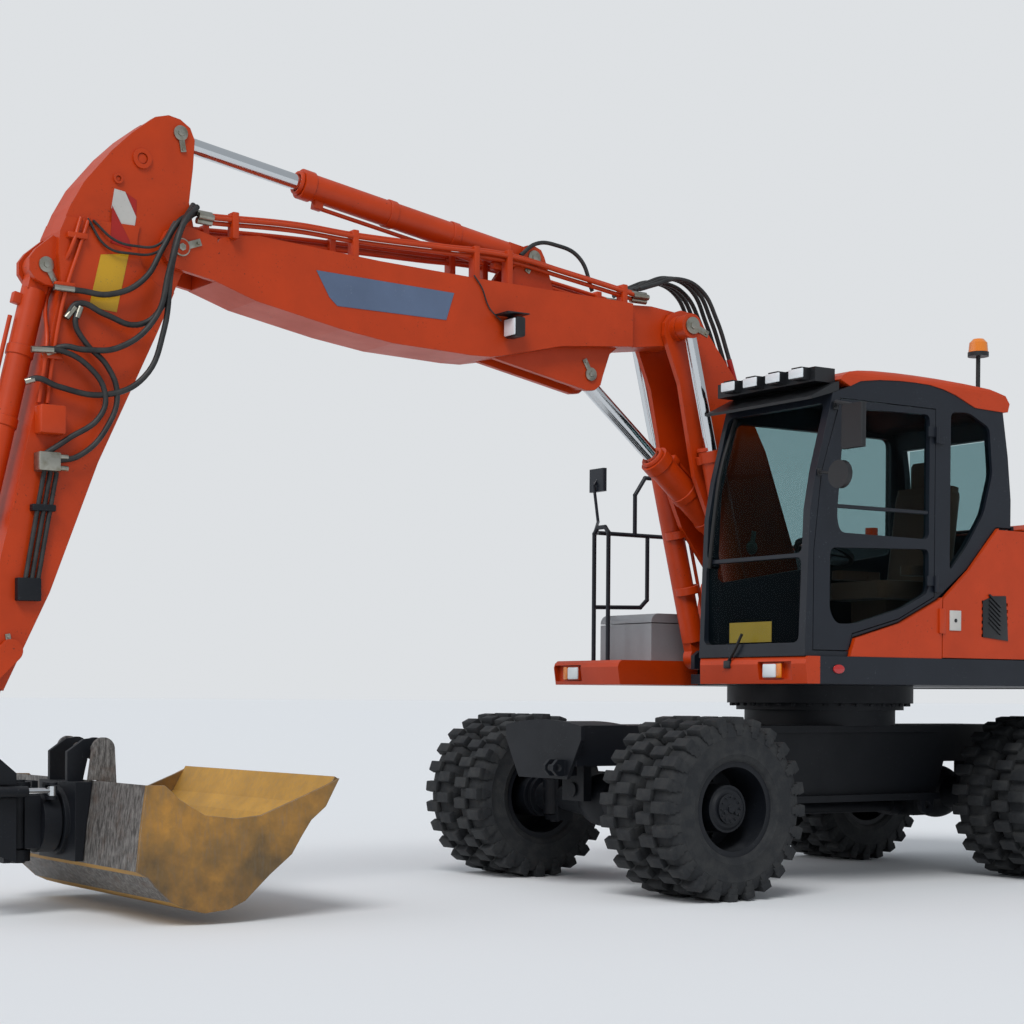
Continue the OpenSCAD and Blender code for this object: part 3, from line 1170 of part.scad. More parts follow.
module tilt_rod_left() tilt_rod(1);
module tilt_barrel_right() tilt_barrel(-1);
module tilt_rod_right() tilt_rod(-1);

chassis_frame();
front_axle();
rear_axle();
transmission();
knuckle_left();
knuckle_right();
rims_front_left();
tyres_front_left();
rims_front_right();
tyres_front_right();
rims_rear_left();
tyres_rear_left();
rims_rear_right();
tyres_rear_right();
slew_ring();
house_deck();
front_fascias();
counterweight();
engine_hood();
side_panels();
left_service_door();
right_service_door();
engine_block();
fuel_tank();
toolbox();
toolbox_lid();
right_handrail();
cab_frame();
cab_roof();
cab_glass();
cab_door();
door_glass();
seat();
console();
lamp_bar();
left_mirrors();
beacon();
base_boom();
front_boom();
arm();
rocker();
bucket_link();
tilt_bracket();
rotator();
tool_hitch();
bucket();
bucket_sides();
bucket_bracket();
lift_barrels();
lift_rods();
position_barrel();
position_rod();
arm_barrel();
arm_rod();
bucket_barrel();
bucket_rod();
tilt_barrel_left();
tilt_rod_left();
tilt_barrel_right();
tilt_rod_right();
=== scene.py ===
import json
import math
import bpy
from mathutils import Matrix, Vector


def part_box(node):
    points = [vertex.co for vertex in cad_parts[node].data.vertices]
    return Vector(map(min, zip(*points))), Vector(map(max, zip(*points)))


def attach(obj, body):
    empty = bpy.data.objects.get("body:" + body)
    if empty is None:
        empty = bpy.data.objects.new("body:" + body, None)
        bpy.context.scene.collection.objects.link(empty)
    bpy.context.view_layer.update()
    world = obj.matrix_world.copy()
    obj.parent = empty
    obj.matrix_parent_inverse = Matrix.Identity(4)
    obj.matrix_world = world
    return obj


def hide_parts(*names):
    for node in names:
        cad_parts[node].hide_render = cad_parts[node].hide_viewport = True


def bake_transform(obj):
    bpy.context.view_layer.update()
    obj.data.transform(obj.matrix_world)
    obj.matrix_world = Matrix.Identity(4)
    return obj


bl_info = {
    "name": "Wheeled Excavator Builder",
    "version": (1, 0, 0),
    "blender": (4, 5, 0),
    "location": "3D View > Sidebar > Excavator",
    "description": "Dresses the packed model of a wheeled excavator",
    "category": "Object",
}

import bmesh
import bpy
from bpy.props import FloatProperty, FloatVectorProperty, IntProperty, PointerProperty
from mathutils import Matrix, Vector
from mathutils.bvhtree import BVHTree

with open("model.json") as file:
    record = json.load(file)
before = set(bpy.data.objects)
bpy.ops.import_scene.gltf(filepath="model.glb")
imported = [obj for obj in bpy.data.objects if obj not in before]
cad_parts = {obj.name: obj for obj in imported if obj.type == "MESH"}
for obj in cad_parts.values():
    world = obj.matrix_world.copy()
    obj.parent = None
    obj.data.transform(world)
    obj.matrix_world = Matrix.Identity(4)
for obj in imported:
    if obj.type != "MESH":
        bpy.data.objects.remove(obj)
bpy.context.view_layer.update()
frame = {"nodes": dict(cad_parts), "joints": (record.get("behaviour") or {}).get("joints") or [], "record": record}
JOINTS = {joint["name"]: joint for joint in frame["joints"]}

Y, Z = Vector((0, 1, 0)), Vector((0, 0, 1))
SLEW = Vector(JOINTS["slew"]["pos_m"])
BOOM_Y = JOINTS["boom_lift"]["pos_m"][1]
BOOM_EDGE_Z = 3.65
TAU = 2 * math.pi
WHEELS = ("front_left", "front_right", "rear_left", "rear_right")
# The eyes of the large cylinders' rods as (x, z), by node
ROD_EYES = {
    "lift_rods": (1.31, 3.53),
    "position_rod": (1.96, 3.19),
    "arm_rod": (4.8, 4.24),
    "bucket_rod": (6.12, 1.06),
}


def at(x, y, z):
    """A point given forward of the slewing axis, to the left and above the ground, in metres."""
    return Vector((x + SLEW.x, y, z))


def linear(text):
    """An sRGB hex colour as the linear values that Blender's sockets take."""
    channels = [int(text[i : i + 2], 16) / 255 for i in (1, 3, 5)]
    return tuple(c / 12.92 if c <= 0.04045 else ((c + 0.055) / 1.055) ** 2.4 for c in channels)


# Properties a user would change


class PaintColours(bpy.types.PropertyGroup):
    """Paint colours of the machine"""

    orange: FloatVectorProperty(
        name="Orange",
        description="Body enamel",
        subtype="COLOR",
        size=3,
        min=0,
        max=1,
        default=linear("#bf3a02"),
    )
    slate: FloatVectorProperty(
        name="Slate",
        description="Cab and skirt enamel",
        subtype="COLOR",
        size=3,
        min=0,
        max=1,
        default=linear("#141a24"),
    )
    black: FloatVectorProperty(
        name="Black",
        description="Chassis enamel",
        subtype="COLOR",
        size=3,
        min=0,
        max=1,
        default=linear("#0c1017"),
    )
    ochre: FloatVectorProperty(
        name="Ochre",
        description="Bucket enamel",
        subtype="COLOR",
        size=3,
        min=0,
        max=1,
        default=linear("#b98436"),
    )


class TyreSizes(bpy.types.PropertyGroup):
    """Sizes of the twin tyres"""

    radius: FloatProperty(
        name="Radius", description="Over the lugs", unit="LENGTH", default=0.535, min=0.5, max=0.56
    )
    width: FloatProperty(
        name="Width", description="Of one tyre", unit="LENGTH", default=0.275, min=0.25, max=0.3
    )
    rim: FloatProperty(
        name="Rim radius", description="At the bead", unit="LENGTH", default=0.2853, min=0.27, max=0.3
    )
    lug_height: FloatProperty(
        name="Lug height", description="Of the tread", unit="LENGTH", default=0.034, min=0.02, max=0.04
    )
    lugs: IntProperty(name="Lugs", description="Round one shoulder", default=24, min=16, max=26)


class HoseSizes(bpy.types.PropertyGroup):
    """Sizes of pipes and hoses"""

    pressure: FloatProperty(
        name="Pressure hose", description="Outer radius", unit="LENGTH", default=0.014, min=0.01, max=0.02
    )
    pilot: FloatProperty(
        name="Pilot hose", description="Outer radius", unit="LENGTH", default=0.009, min=0.006, max=0.012
    )
    pipe: FloatProperty(
        name="Steel pipe", description="Outer radius", unit="LENGTH", default=0.016, min=0.012, max=0.02
    )


# Materials


def feed(tree, target, inputs):
    """Sets or links a node's inputs. inputs maps a socket's name or number to a value or a node's output."""
    for key, value in dict(inputs).items():
        if isinstance(value, bpy.types.NodeSocket):
            tree.links.new(value, target.inputs[key])
        else:
            target.inputs[key].default_value = value


def node(tree, kind, inputs=(), **settings):
    """Adds a shader node with its settings, values and links."""
    made = tree.nodes.new(kind)
    for key, value in settings.items():
        setattr(made, key, value)
    feed(tree, made, inputs)
    return made


def start_material(name):
    material = bpy.data.materials.new(name)
    material.use_nodes = True
    tree = material.node_tree
    tree.nodes.clear()
    shader = node(tree, "ShaderNodeBsdfPrincipled")
    node(tree, "ShaderNodeOutputMaterial", {0: shader.outputs[0]})
    return material, tree, shader


def rgba(colour):
    colour = linear(colour) if isinstance(colour, str) else tuple(colour)
    return (*colour, 1.0)


def noise_mask(tree, size_mm, low, high, detail=4.0, rough=0.6):
    """A soft mask from noise whose patches are about size_mm across, cut between low and high."""
    place = node(tree, "ShaderNodeTexCoord").outputs["Object"]
    look = {"Vector": place, "Scale": 1000 / size_mm, "Detail": detail, "Roughness": rough}
    cloud = node(tree, "ShaderNodeTexNoise", look).outputs["Fac"]
    mask = node(tree, "ShaderNodeMapRange", {"Value": cloud, "From Min": low, "From Max": high})
    return mask.outputs["Result"]


def layer(tree, base, colour, *masks):
    """Lays a colour over a base where all masks are white. Returns the mixed colour and the joint mask."""
    mask = masks[0]
    for other in masks[1:]:
        mask = node(tree, "ShaderNodeMath", {0: mask, 1: other}, operation="MULTIPLY").outputs[0]
    mixed = node(tree, "ShaderNodeMix", {"Factor": mask, 6: base, 7: rgba(colour)}, data_type="RGBA")
    return mixed.outputs[2], mask


def edge_mask(tree, radius_mm, strength):
    """White where the surface turns sharply within radius_mm."""
    soft = node(tree, "ShaderNodeBevel", {"Radius": radius_mm / 1000}, samples=4)
    flat = node(tree, "ShaderNodeNewGeometry")
    faces = {0: soft.outputs[0], 1: flat.outputs["True Normal"]}
    same = node(tree, "ShaderNodeVectorMath", faces, operation="DOT_PRODUCT").outputs["Value"]
    mask = node(tree, "ShaderNodeMapRange", {"Value": same, "From Min": 0.985, "From Max": 0.985 - strength})
    return mask.outputs["Result"]


def upward_mask(tree, low, high):
    """White on faces that look up, where dust settles."""
    facing = node(tree, "ShaderNodeSeparateXYZ", {0: node(tree, "ShaderNodeNewGeometry").outputs["Normal"]})
    mask = node(tree, "ShaderNodeMapRange", {"Value": facing.outputs["Z"], "From Min": low, "From Max": high})
    return mask.outputs["Result"]


def enamel(name, colour, worn, dust, edge=0.5, rough=0.34, dust_amount=0.5, coat=0.25):
    """Machine enamel rolled on over steel: glossy, faded in patches, chipped on edges and dusty on top."""
    material, tree, shader = start_material(name)
    edge_mm = 4.0
    # Faded patches about 300 mm across
    darker = tuple(c * 0.82 for c in rgba(colour)[:3])
    base, fade = layer(tree, rgba(colour), darker, noise_mask(tree, 300, 0.35, 0.75))
    # Fine scratches and stone chips about 12 mm across
    chips = noise_mask(tree, 12, 0.62, 0.68, 6)
    base, _ = layer(tree, base, worn, chips, noise_mask(tree, 160, 0.5, 0.62))
    corners = edge_mask(tree, edge_mm, 0.25)
    base, _ = layer(tree, base, worn, corners, noise_mask(tree, 40, 0.4, 0.62, 6), edge)
    # Dust that lies on top in blotches about 120 mm across
    above = upward_mask(tree, 0.35, 0.95)
    base, settled = layer(tree, base, dust, above, noise_mask(tree, 120, 0.3, 0.7, 5), dust_amount)
    dull = node(tree, "ShaderNodeMath", {0: settled, 1: 0.5, 2: rough}, operation="MULTIPLY_ADD").outputs[0]
    dull = node(tree, "ShaderNodeMath", {0: fade, 1: 0.12, 2: dull}, operation="MULTIPLY_ADD", use_clamp=True)
    # Orange peel of sprayed enamel, drawn 6 mm across so that it shows
    place = node(tree, "ShaderNodeTexCoord").outputs["Object"]
    peel = node(tree, "ShaderNodeTexNoise", {"Vector": place, "Scale": 1000 / 6, "Detail": 2.0})
    rounded = node(tree, "ShaderNodeBevel", {"Radius": edge_mm / 1000}, samples=4).outputs[0]
    relief = {"Strength": 0.06, "Distance": 0.002, "Height": peel.outputs["Fac"], "Normal": rounded}
    feed(tree, shader, {
        "Base Color": base,
        "Roughness": dull.outputs[0],
        "Normal": node(tree, "ShaderNodeBump", relief).outputs[0],
        "Coat Weight": coat,
        "Coat Roughness": 0.12,
        "Specular IOR Level": 0.35,
    })
    return material


def metal(name, colour, rough, tarnish=None):
    """Bare metal, drawn or machined, with fine streaks 12 mm apart along its length."""
    material, tree, shader = start_material(name)
    place = node(tree, "ShaderNodeTexCoord").outputs["Object"]
    drawn = node(tree, "ShaderNodeMapping", {"Vector": place, "Scale": (1, 1, 8.0)}).outputs[0]
    grain = node(tree, "ShaderNodeTexNoise", {"Vector": drawn, "Scale": 1000 / 12, "Detail": 5.0})
    base = rgba(colour)
    if tarnish:
        base, _ = layer(tree, base, tarnish, noise_mask(tree, 60, 0.45, 0.7))
    spread = {"Value": grain.outputs["Fac"], "To Min": rough * 0.7, "To Max": min(1.0, rough * 1.4)}
    gloss = node(tree, "ShaderNodeMapRange", spread).outputs["Result"]
    feed(tree, shader, {"Base Color": base, "Metallic": 1.0, "Roughness": gloss})
    return material


def plastic(name, colour, rough, grain_mm, grain, dust=None):
    """Moulded plastic or rubber with a fine leathery grain."""
    material, tree, shader = start_material(name)
    place = node(tree, "ShaderNodeTexCoord").outputs["Object"]
    base = rgba(colour)
    if dust:
        base, _ = layer(tree, base, dust, noise_mask(tree, 70, 0.35, 0.72, 6), 0.7)
    cells = node(tree, "ShaderNodeTexVoronoi", {"Vector": place, "Scale": 1000 / grain_mm})
    relief = {"Strength": grain, "Distance": 0.0006, "Height": cells.outputs["Distance"]}
    bump = node(tree, "ShaderNodeBump", relief)
    feed(tree, shader, {"Base Color": base, "Roughness": rough, "Normal": bump.outputs[0]})
    return material


def tyre_rubber(name):
    """Natural rubber compound, moulded: matt black, greyed by dry earth between and on the lugs."""
    material, tree, shader = start_material(name)
    fine = noise_mask(tree, 9, 0.35, 0.75, 3)
    base, _ = layer(tree, rgba("#14171b"), "#3f3f3d", noise_mask(tree, 90, 0.42, 0.78, 6), 0.55)
    base, _ = layer(tree, base, "#2a2d31", fine, 0.2)
    bump = node(tree, "ShaderNodeBump", {"Strength": 0.35, "Distance": 0.002, "Height": fine})
    feed(tree, shader, {"Base Color": base, "Roughness": 0.78, "Normal": bump.outputs[0]})
    return material


def scraped_ochre(name, colour, soil_and_shade=1.0):
    """Ochre enamel on wear-resistant plate: scraped to steel and stained with earth, and darkened towards its
    underside with painted shade.
    """
    material, tree, shader = start_material(name)
    place = node(tree, "ShaderNodeTexCoord").outputs["Object"]
    # Scrapes run down the shell, drawn about 14 mm apart
    swept = node(tree, "ShaderNodeMapping", {"Vector": place, "Scale": (1, 1, 0.16)}).outputs[0]
    look = {"Vector": swept, "Scale": 70.0, "Detail": 6.0, "Roughness": 0.7}
    scrape = node(tree, "ShaderNodeTexNoise", look).outputs["Fac"]
    scraped = node(tree, "ShaderNodeMapRange", {"Value": scrape, "From Min": 0.5, "From Max": 0.72})
    scraped = scraped.outputs["Result"]
    base, _ = layer(tree, rgba(colour), "#55462e", noise_mask(tree, 420, 0.34, 0.62, 7, 0.62), 0.9 * soil_and_shade)
    base, _ = layer(tree, base, "#7d6238", noise_mask(tree, 70, 0.45, 0.62, 6), 0.4 * soil_and_shade)
    base, _ = layer(tree, base, "#6b655b", scraped, 0.4)
    base, _ = layer(tree, base, "#9a958c", edge_mask(tree, 6, 0.3), noise_mask(tree, 50, 0.3, 0.6))
    # Painted shade of the shell's underside, mixed with earth: dark brown laid on towards the bottom, in blotches
    # about 130 mm across
    height = node(tree, "ShaderNodeSeparateXYZ", {0: place}).outputs["Z"]
    low = node(tree, "ShaderNodeMapRange", {"Value": height, "From Min": 0.45, "From Max": 0.08})
    earth = noise_mask(tree, 130, 0.25, 0.7, 6)
    base, _ = layer(tree, base, "#463a29", low.outputs["Result"], earth, 0.8 * soil_and_shade)
    dull = node(tree, "ShaderNodeMapRange", {"Value": scraped, "To Min": 0.62, "To Max": 0.42})
    rounded = node(tree, "ShaderNodeBevel", {"Radius": 0.005}, samples=4).outputs[0]
    relief = {"Strength": 0.3, "Distance": 0.003, "Height": scrape, "Normal": rounded}
    bump = node(tree, "ShaderNodeBump", relief)
    feed(tree, shader, {"Base Color": base, "Roughness": dull.outputs["Result"], "Normal": bump.outputs[0]})
    return material


def scraped_steel(name):
    """Mild steel plate: grey mill scale, ground bright by stones and streaked with rust."""
    material, tree, shader = start_material(name)
    place = node(tree, "ShaderNodeTexCoord").outputs["Object"]
    swept = node(tree, "ShaderNodeMapping", {"Vector": place, "Scale": (1, 1, 0.25)}).outputs[0]
    look = {"Vector": swept, "Scale": 60.0, "Detail": 8.0, "Roughness": 0.75}
    scrape = node(tree, "ShaderNodeTexNoise", look).outputs["Fac"]
    bright = node(tree, "ShaderNodeMapRange", {"Value": scrape, "From Min": 0.42, "From Max": 0.62})
    base, _ = layer(tree, rgba("#4a4745"), "#8d8a86", bright.outputs["Result"])
    base, _ = layer(tree, base, "#5e4636", noise_mask(tree, 80, 0.52, 0.7, 6), 0.5)
    rounded = node(tree, "ShaderNodeBevel", {"Radius": 0.005}, samples=4).outputs[0]
    relief = {"Strength": 0.35, "Distance": 0.003, "Height": scrape, "Normal": rounded}
    bump = node(tree, "ShaderNodeBump", relief).outputs[0]
    feed(tree, shader, {"Base Color": base, "Metallic": 0.35, "Roughness": 0.55, "Normal": bump})
    return material


def safety_glass(name, tint):
    """Tempered float glass, tinted grey green: see-through, with a clean reflection."""
    material, tree, shader = start_material(name)
    feed(tree, shader, {"Base Color": rgba("#0b0f11"), "Roughness": 0.02})
    clear = node(tree, "ShaderNodeBsdfTransparent", {"Color": rgba(tint)}).outputs[0]
    # Only the face towards the viewer reflects
    behind = node(tree, "ShaderNodeNewGeometry").outputs["Backfacing"]
    front = node(tree, "ShaderNodeMath", {0: 1.0, 1: behind}, operation="SUBTRACT").outputs[0]
    fresnel = node(tree, "ShaderNodeFresnel", {"IOR": 1.52}).outputs[0]
    facing = node(tree, "ShaderNodeMath", {0: fresnel, 1: front}, operation="MULTIPLY").outputs[0]
    mixed = node(tree, "ShaderNodeMixShader", {0: facing, 1: clear, 2: shader.outputs[0]})
    output = next(n for n in tree.nodes if n.type == "OUTPUT_MATERIAL")
    feed(tree, output, {0: mixed.outputs[0]})
    return material


def lens(name, colour):
    """Polycarbonate lens with fine vertical flutes 4 mm apart."""
    material, tree, shader = start_material(name)
    look = {"Vector": node(tree, "ShaderNodeTexCoord").outputs["Object"], "Scale": 1000 / 4 / TAU}
    flutes = node(tree, "ShaderNodeTexWave", look, bands_direction="Y").outputs["Fac"]
    bump = node(tree, "ShaderNodeBump", {"Strength": 0.4, "Distance": 0.001, "Height": flutes}).outputs[0]
    feed(tree, shader, {"Base Color": rgba(colour), "Roughness": 0.08, "Coat Weight": 0.6, "Normal": bump})
    return material


def seat_cloth(name, colour, second):
    """Woven polyester seat cloth, threads 3 mm apart."""
    material, tree, shader = start_material(name)
    place = node(tree, "ShaderNodeTexCoord").outputs["Object"]
    threads = {"Vector": place, "Scale": 1000 / 3, "Color1": rgba(colour), "Color2": rgba(second)}
    weave = node(tree, "ShaderNodeTexChecker", threads)
    relief = {"Strength": 0.3, "Distance": 0.001, "Height": weave.outputs["Fac"]}
    feed(tree, shader, {
        "Base Color": weave.outputs["Color"],
        "Roughness": 0.9,
        "Sheen Weight": 0.3,
        "Normal": node(tree, "ShaderNodeBump", relief).outputs[0],
    })
    return material


MATERIALS = {}


def make_materials():
    paint = bpy.context.scene.excavator_paint
    dust = "#7d766b"
    MATERIALS.update(
        # edge, rough, dust_amount and coat follow the two colours of wear and dust
        orange=enamel("orange_enamel", paint.orange, "#5a2413", dust, 0.6, 0.42, 0.12, 0.08),
        slate=enamel("slate_enamel", paint.slate, "#3c4147", dust, 0.3, 0.42, 0.12, 0.1),
        black=enamel("chassis_enamel", paint.black, "#33363a", "#4c4e50", 0.5, 0.5, 0.35, 0.0),
        rubber=tyre_rubber("tyre_rubber"),
        ochre=scraped_ochre("scraped_ochre", paint.ochre),
        # A lighter copy of the bucket's ochre with less soil and painted shade: painted light for the bucket's
        # faces turned up or forward
        inside=scraped_ochre("lit_ochre", "#c8963c", 0.35),
        steel=scraped_steel("scraped_steel"),
        chrome=metal("hard_chrome", "#d5d8da", 0.1),
        zinc=metal("zinc_plated_steel", "#a9a79c", 0.35, tarnish="#8b8676"),
        glass=safety_glass("safety_glass", "#d6e2e3"),
        hose=plastic("hose_rubber", "#16181a", 0.55, 1.5, 0.2, dust="#3b3a38"),
        plastic=plastic("black_polypropylene", "#17191c", 0.45, 2.0, 0.2),
        seal=plastic("seal_rubber", "#0e0f10", 0.6, 2.0, 0.1),
        amber=lens("amber_lens", "#e07c14"),
        clear=lens("clear_lens", "#dfe5e8"),
        red=lens("red_lens", "#b01714"),
        silver=enamel("silver_enamel", "#8f9296", "#6a6c6e", dust, edge=0.2, dust_amount=0.3),
        plate=enamel("blank_plate", "#5b6b86", "#7e8896", dust, edge=0.2, dust_amount=0.2),
        yellow=enamel("yellow_plate", "#c99a1e", "#8e7a3d", dust, edge=0.1, dust_amount=0.1),
        white=enamel("white_plate", "#c9c6c0", "#9a968f", dust, edge=0.1, dust_amount=0.1),
        warning=enamel("red_film", "#a81c14", "#7b2a20", dust, edge=0.1, dust_amount=0.1),
        cloth=seat_cloth("seat_cloth", "#6e4630", "#4c3022"),
    )


# Mesh helpers


def block(size, bevel=0.0, segments=2):
    """A block centred on the origin with rounded edges."""
    bm = bmesh.new()
    bmesh.ops.create_cube(bm, size=1.0)
    bmesh.ops.scale(bm, vec=Vector(size), verts=bm.verts)
    if bevel:
        bmesh.ops.bevel(
            bm, geom=bm.edges[:], offset=bevel, affect="EDGES", segments=segments, profile=0.5, material=-1
        )
    return bm


def drum(radius, length, bevel=0.0, sides=24):
    """A round piece along Z, centred on the origin, with rounded rims."""
    bm = bmesh.new()
    bmesh.ops.create_cone(bm, cap_ends=True, segments=sides, radius1=radius, radius2=radius, depth=length)
    if bevel:
        rims = [e for e in bm.edges if abs(e.verts[0].co.z - e.verts[1].co.z) < 1e-6]
        bmesh.ops.bevel(bm, geom=rims, offset=bevel, affect="EDGES", segments=2, profile=0.5, material=-1)
    return bm


def lathe(profile, sides):
    """Spins a closed chain of (radius, height) points round Z."""
    bm = bmesh.new()
    verts = [bm.verts.new((r, 0, z)) for r, z in [*profile, profile[0]]]
    edges = [bm.edges.new(pair) for pair in zip(verts, verts[1:])]
    bmesh.ops.spin(
        bm, geom=verts + edges, cent=(0, 0, 0), axis=(0, 0, 1), angle=TAU, steps=sides, use_merge=True
    )
    bmesh.ops.remove_doubles(bm, verts=bm.verts, dist=1e-6)
    bmesh.ops.recalc_face_normals(bm, faces=bm.faces)
    return bm


def slab(outline, thickness, bevel=0.0):
    """Extrudes an outline of (x, z) points, forward of the slewing axis, along Y and centred on y = 0."""
    bm = bmesh.new()
    face = bm.faces.new([bm.verts.new(at(x, -thickness / 2, z)) for x, z in outline])
    made = bmesh.ops.extrude_face_region(bm, geom=[face])
    moved = [v for v in made["geom"] if isinstance(v, bmesh.types.BMVert)]
    bmesh.ops.translate(bm, vec=(0, thickness, 0), verts=moved)
    bmesh.ops.recalc_face_normals(bm, faces=bm.faces)
    if bevel:
        edges = bm.edges[:]
        bmesh.ops.bevel(bm, geom=edges, offset=bevel, affect="EDGES", segments=2, profile=0.5, material=-1)
    return bm


def stamp(target, source, *places):
    """Adds a copy of a small bmesh to a larger one at each place, and frees the small one."""
    mesh = bpy.data.meshes.new("stamp")
    for place in places:
        copy = source.copy()
        copy.transform(place)
        if place.determinant() < 0:
            bmesh.ops.reverse_faces(copy, faces=copy.faces)
        copy.to_mesh(mesh)
        copy.free()
        target.from_mesh(mesh)
    bpy.data.meshes.remove(mesh)
    source.free()


def move(point):
    return Matrix.Translation(Vector(point))


def aim(point, direction):
    """A place at point with its Z axis along direction."""
    return move(point) @ Vector(direction).to_track_quat("Z", "Y").to_matrix().to_4x4()


def turned(degrees, axis):
    return Matrix.Rotation(math.radians(degrees), 4, axis)


def outward(side):
    """Turns the Z axis out to the left where side is 1, and to the right where it is -1."""
    return turned(-90 * side, "X")


def ring(count, radius, height):
    """Places evenly round Z."""
    return [Matrix.Rotation(TAU * i / count, 4, "Z") @ move((radius, 0, height)) for i in range(count)]


def middle(outline):
    """The mean of an outline's points."""
    return [sum(values) / len(outline) for values in zip(*outline)]


def finish_piece(name, bm, body, material, smooth=40):
    """Makes a bmesh a piece of the machine that rides on a body."""
    mesh = bpy.data.meshes.new(name)
    bm.to_mesh(mesh)
    bm.free()
    mesh.materials.append(MATERIALS[material])
    piece = bpy.data.objects.new(name, mesh)
    bpy.context.scene.collection.objects.link(piece)
    if smooth:
        mesh.set_sharp_from_angle(angle=math.radians(smooth))
        mesh.polygons.foreach_set("use_smooth", [True] * len(mesh.polygons))
    if body:
        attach(piece, body)
    return piece


def from_blocks(name, body, material, blocks, smooth=40):
    """A piece of rounded blocks, each given by its size, bevel and centre."""
    bm = bmesh.new()
    for size, bevel, centre in blocks:
        stamp(bm, block(size, bevel), move(centre))
    finish_piece(name, bm, body, material, smooth)


def piping(name, routes, radius, body, material, sides=5):
    """Round pipes or hoses through lists of points, as one piece."""
    curve = bpy.data.curves.new(name, "CURVE")
    curve.dimensions = "3D"
    curve.bevel_depth = radius
    curve.bevel_resolution = sides - 2
    curve.resolution_u = 8
    curve.use_fill_caps = True
    for route in routes:
        spline = curve.splines.new("BEZIER")
        spline.bezier_points.add(len(route) - 1)
        for knot, point in zip(spline.bezier_points, route):
            knot.co = point
            knot.handle_left_type = knot.handle_right_type = "AUTO"
    holder = bpy.data.objects.new(name, curve)
    mesh = bpy.data.meshes.new_from_object(holder)
    bpy.data.objects.remove(holder)
    bpy.data.curves.remove(curve)
    bm = bmesh.new()
    bm.from_mesh(mesh)
    bpy.data.meshes.remove(mesh)
    return finish_piece(name, bm, body, material)


# Stage


class EXCAVATOR_OT_stage(bpy.types.Operator):
    """Floor, soft studio light and the camera at the photograph's view"""

    bl_idname = "excavator.stage"
    bl_label = "Stage"

    # The camera as fitted to wheels, deck and cab: place, direction, roll in radians, lens and shift
    CAMERA = (9.60, 10.0, 1.157)
    LOOK = (-0.5347, -0.8450, -0.0098)
    ROLL = 0.006
    LENS_MM = 70.6
    SHIFT = (0.0992, 0.2024)
    FLOOR_RADIUS = 4000
    # name, strength, angle of its disc in degrees, where it shines from
    LAMPS = (
        ("key", 1.75, 25, Vector((0.62, 0.55, 0.9))),
        ("fill", 0.45, 60, Vector((0.9, -0.5, 0.45))),
    )

    def execute(self, context):
        scene = context.scene
        scene.view_settings.view_transform = "Standard"
        camera = bpy.data.cameras.new("camera")
        camera.lens, camera.sensor_width = self.LENS_MM, 36
        camera.shift_x, camera.shift_y = self.SHIFT
        camera.clip_end = self.FLOOR_RADIUS * 1.25
        holder = bpy.data.objects.new("camera", camera)
        look = Vector(self.LOOK).normalized()
        right = look.cross(Z).normalized()
        up = right.cross(look)
        cos, sin = math.cos(self.ROLL), math.sin(self.ROLL)
        right, up = right * cos + up * sin, up * cos - right * sin
        turn = Matrix((right, up, -look)).transposed().to_4x4()
        holder.matrix_world = move(at(*self.CAMERA)) @ turn
        scene.collection.objects.link(holder)
        scene.camera = holder
        # Pale floor
        bm = bmesh.new()
        bmesh.ops.create_circle(bm, cap_ends=True, segments=64, radius=self.FLOOR_RADIUS)
        mesh = bpy.data.meshes.new("floor")
        bm.to_mesh(mesh)
        bm.free()
        floor = bpy.data.objects.new("floor", mesh)
        scene.collection.objects.link(floor)
        material, tree, shader = start_material("studio_floor")
        feed(tree, shader, {"Base Color": rgba("#e6e8ea"), "Roughness": 0.9, "Specular IOR Level": 0.1})
        mesh.materials.append(material)
        self.light(scene)
        return {"FINISHED"}

    def light(self, scene):
        world = bpy.data.worlds.new("studio")
        world.use_nodes = True
        tree = world.node_tree
        tree.nodes.clear()
        path = node(tree, "ShaderNodeLightPath").outputs
        rays = {0: path["Is Camera Ray"], 1: path["Is Transmission Ray"]}
        seen = node(tree, "ShaderNodeMath", rays, operation="MAXIMUM")
        lit = node(tree, "ShaderNodeBackground", {"Color": rgba("#e8eef5"), "Strength": 0.55}).outputs[0]
        plain = node(tree, "ShaderNodeBackground", {"Color": rgba("#e3e6e9"), "Strength": 0.95}).outputs[0]
        mixed = node(tree, "ShaderNodeMixShader", {0: seen.outputs[0], 1: lit, 2: plain})
        node(tree, "ShaderNodeOutputWorld", {0: mixed.outputs[0]})
        scene.world = world
        for name, strength, angle, place in self.LAMPS:
            lamp = bpy.data.lights.new(name, "SUN")
            lamp.energy = strength
            lamp.angle = math.radians(angle)
            holder = bpy.data.objects.new(name, lamp)
            holder.matrix_world = aim(place * 10, place)
            scene.collection.objects.link(holder)


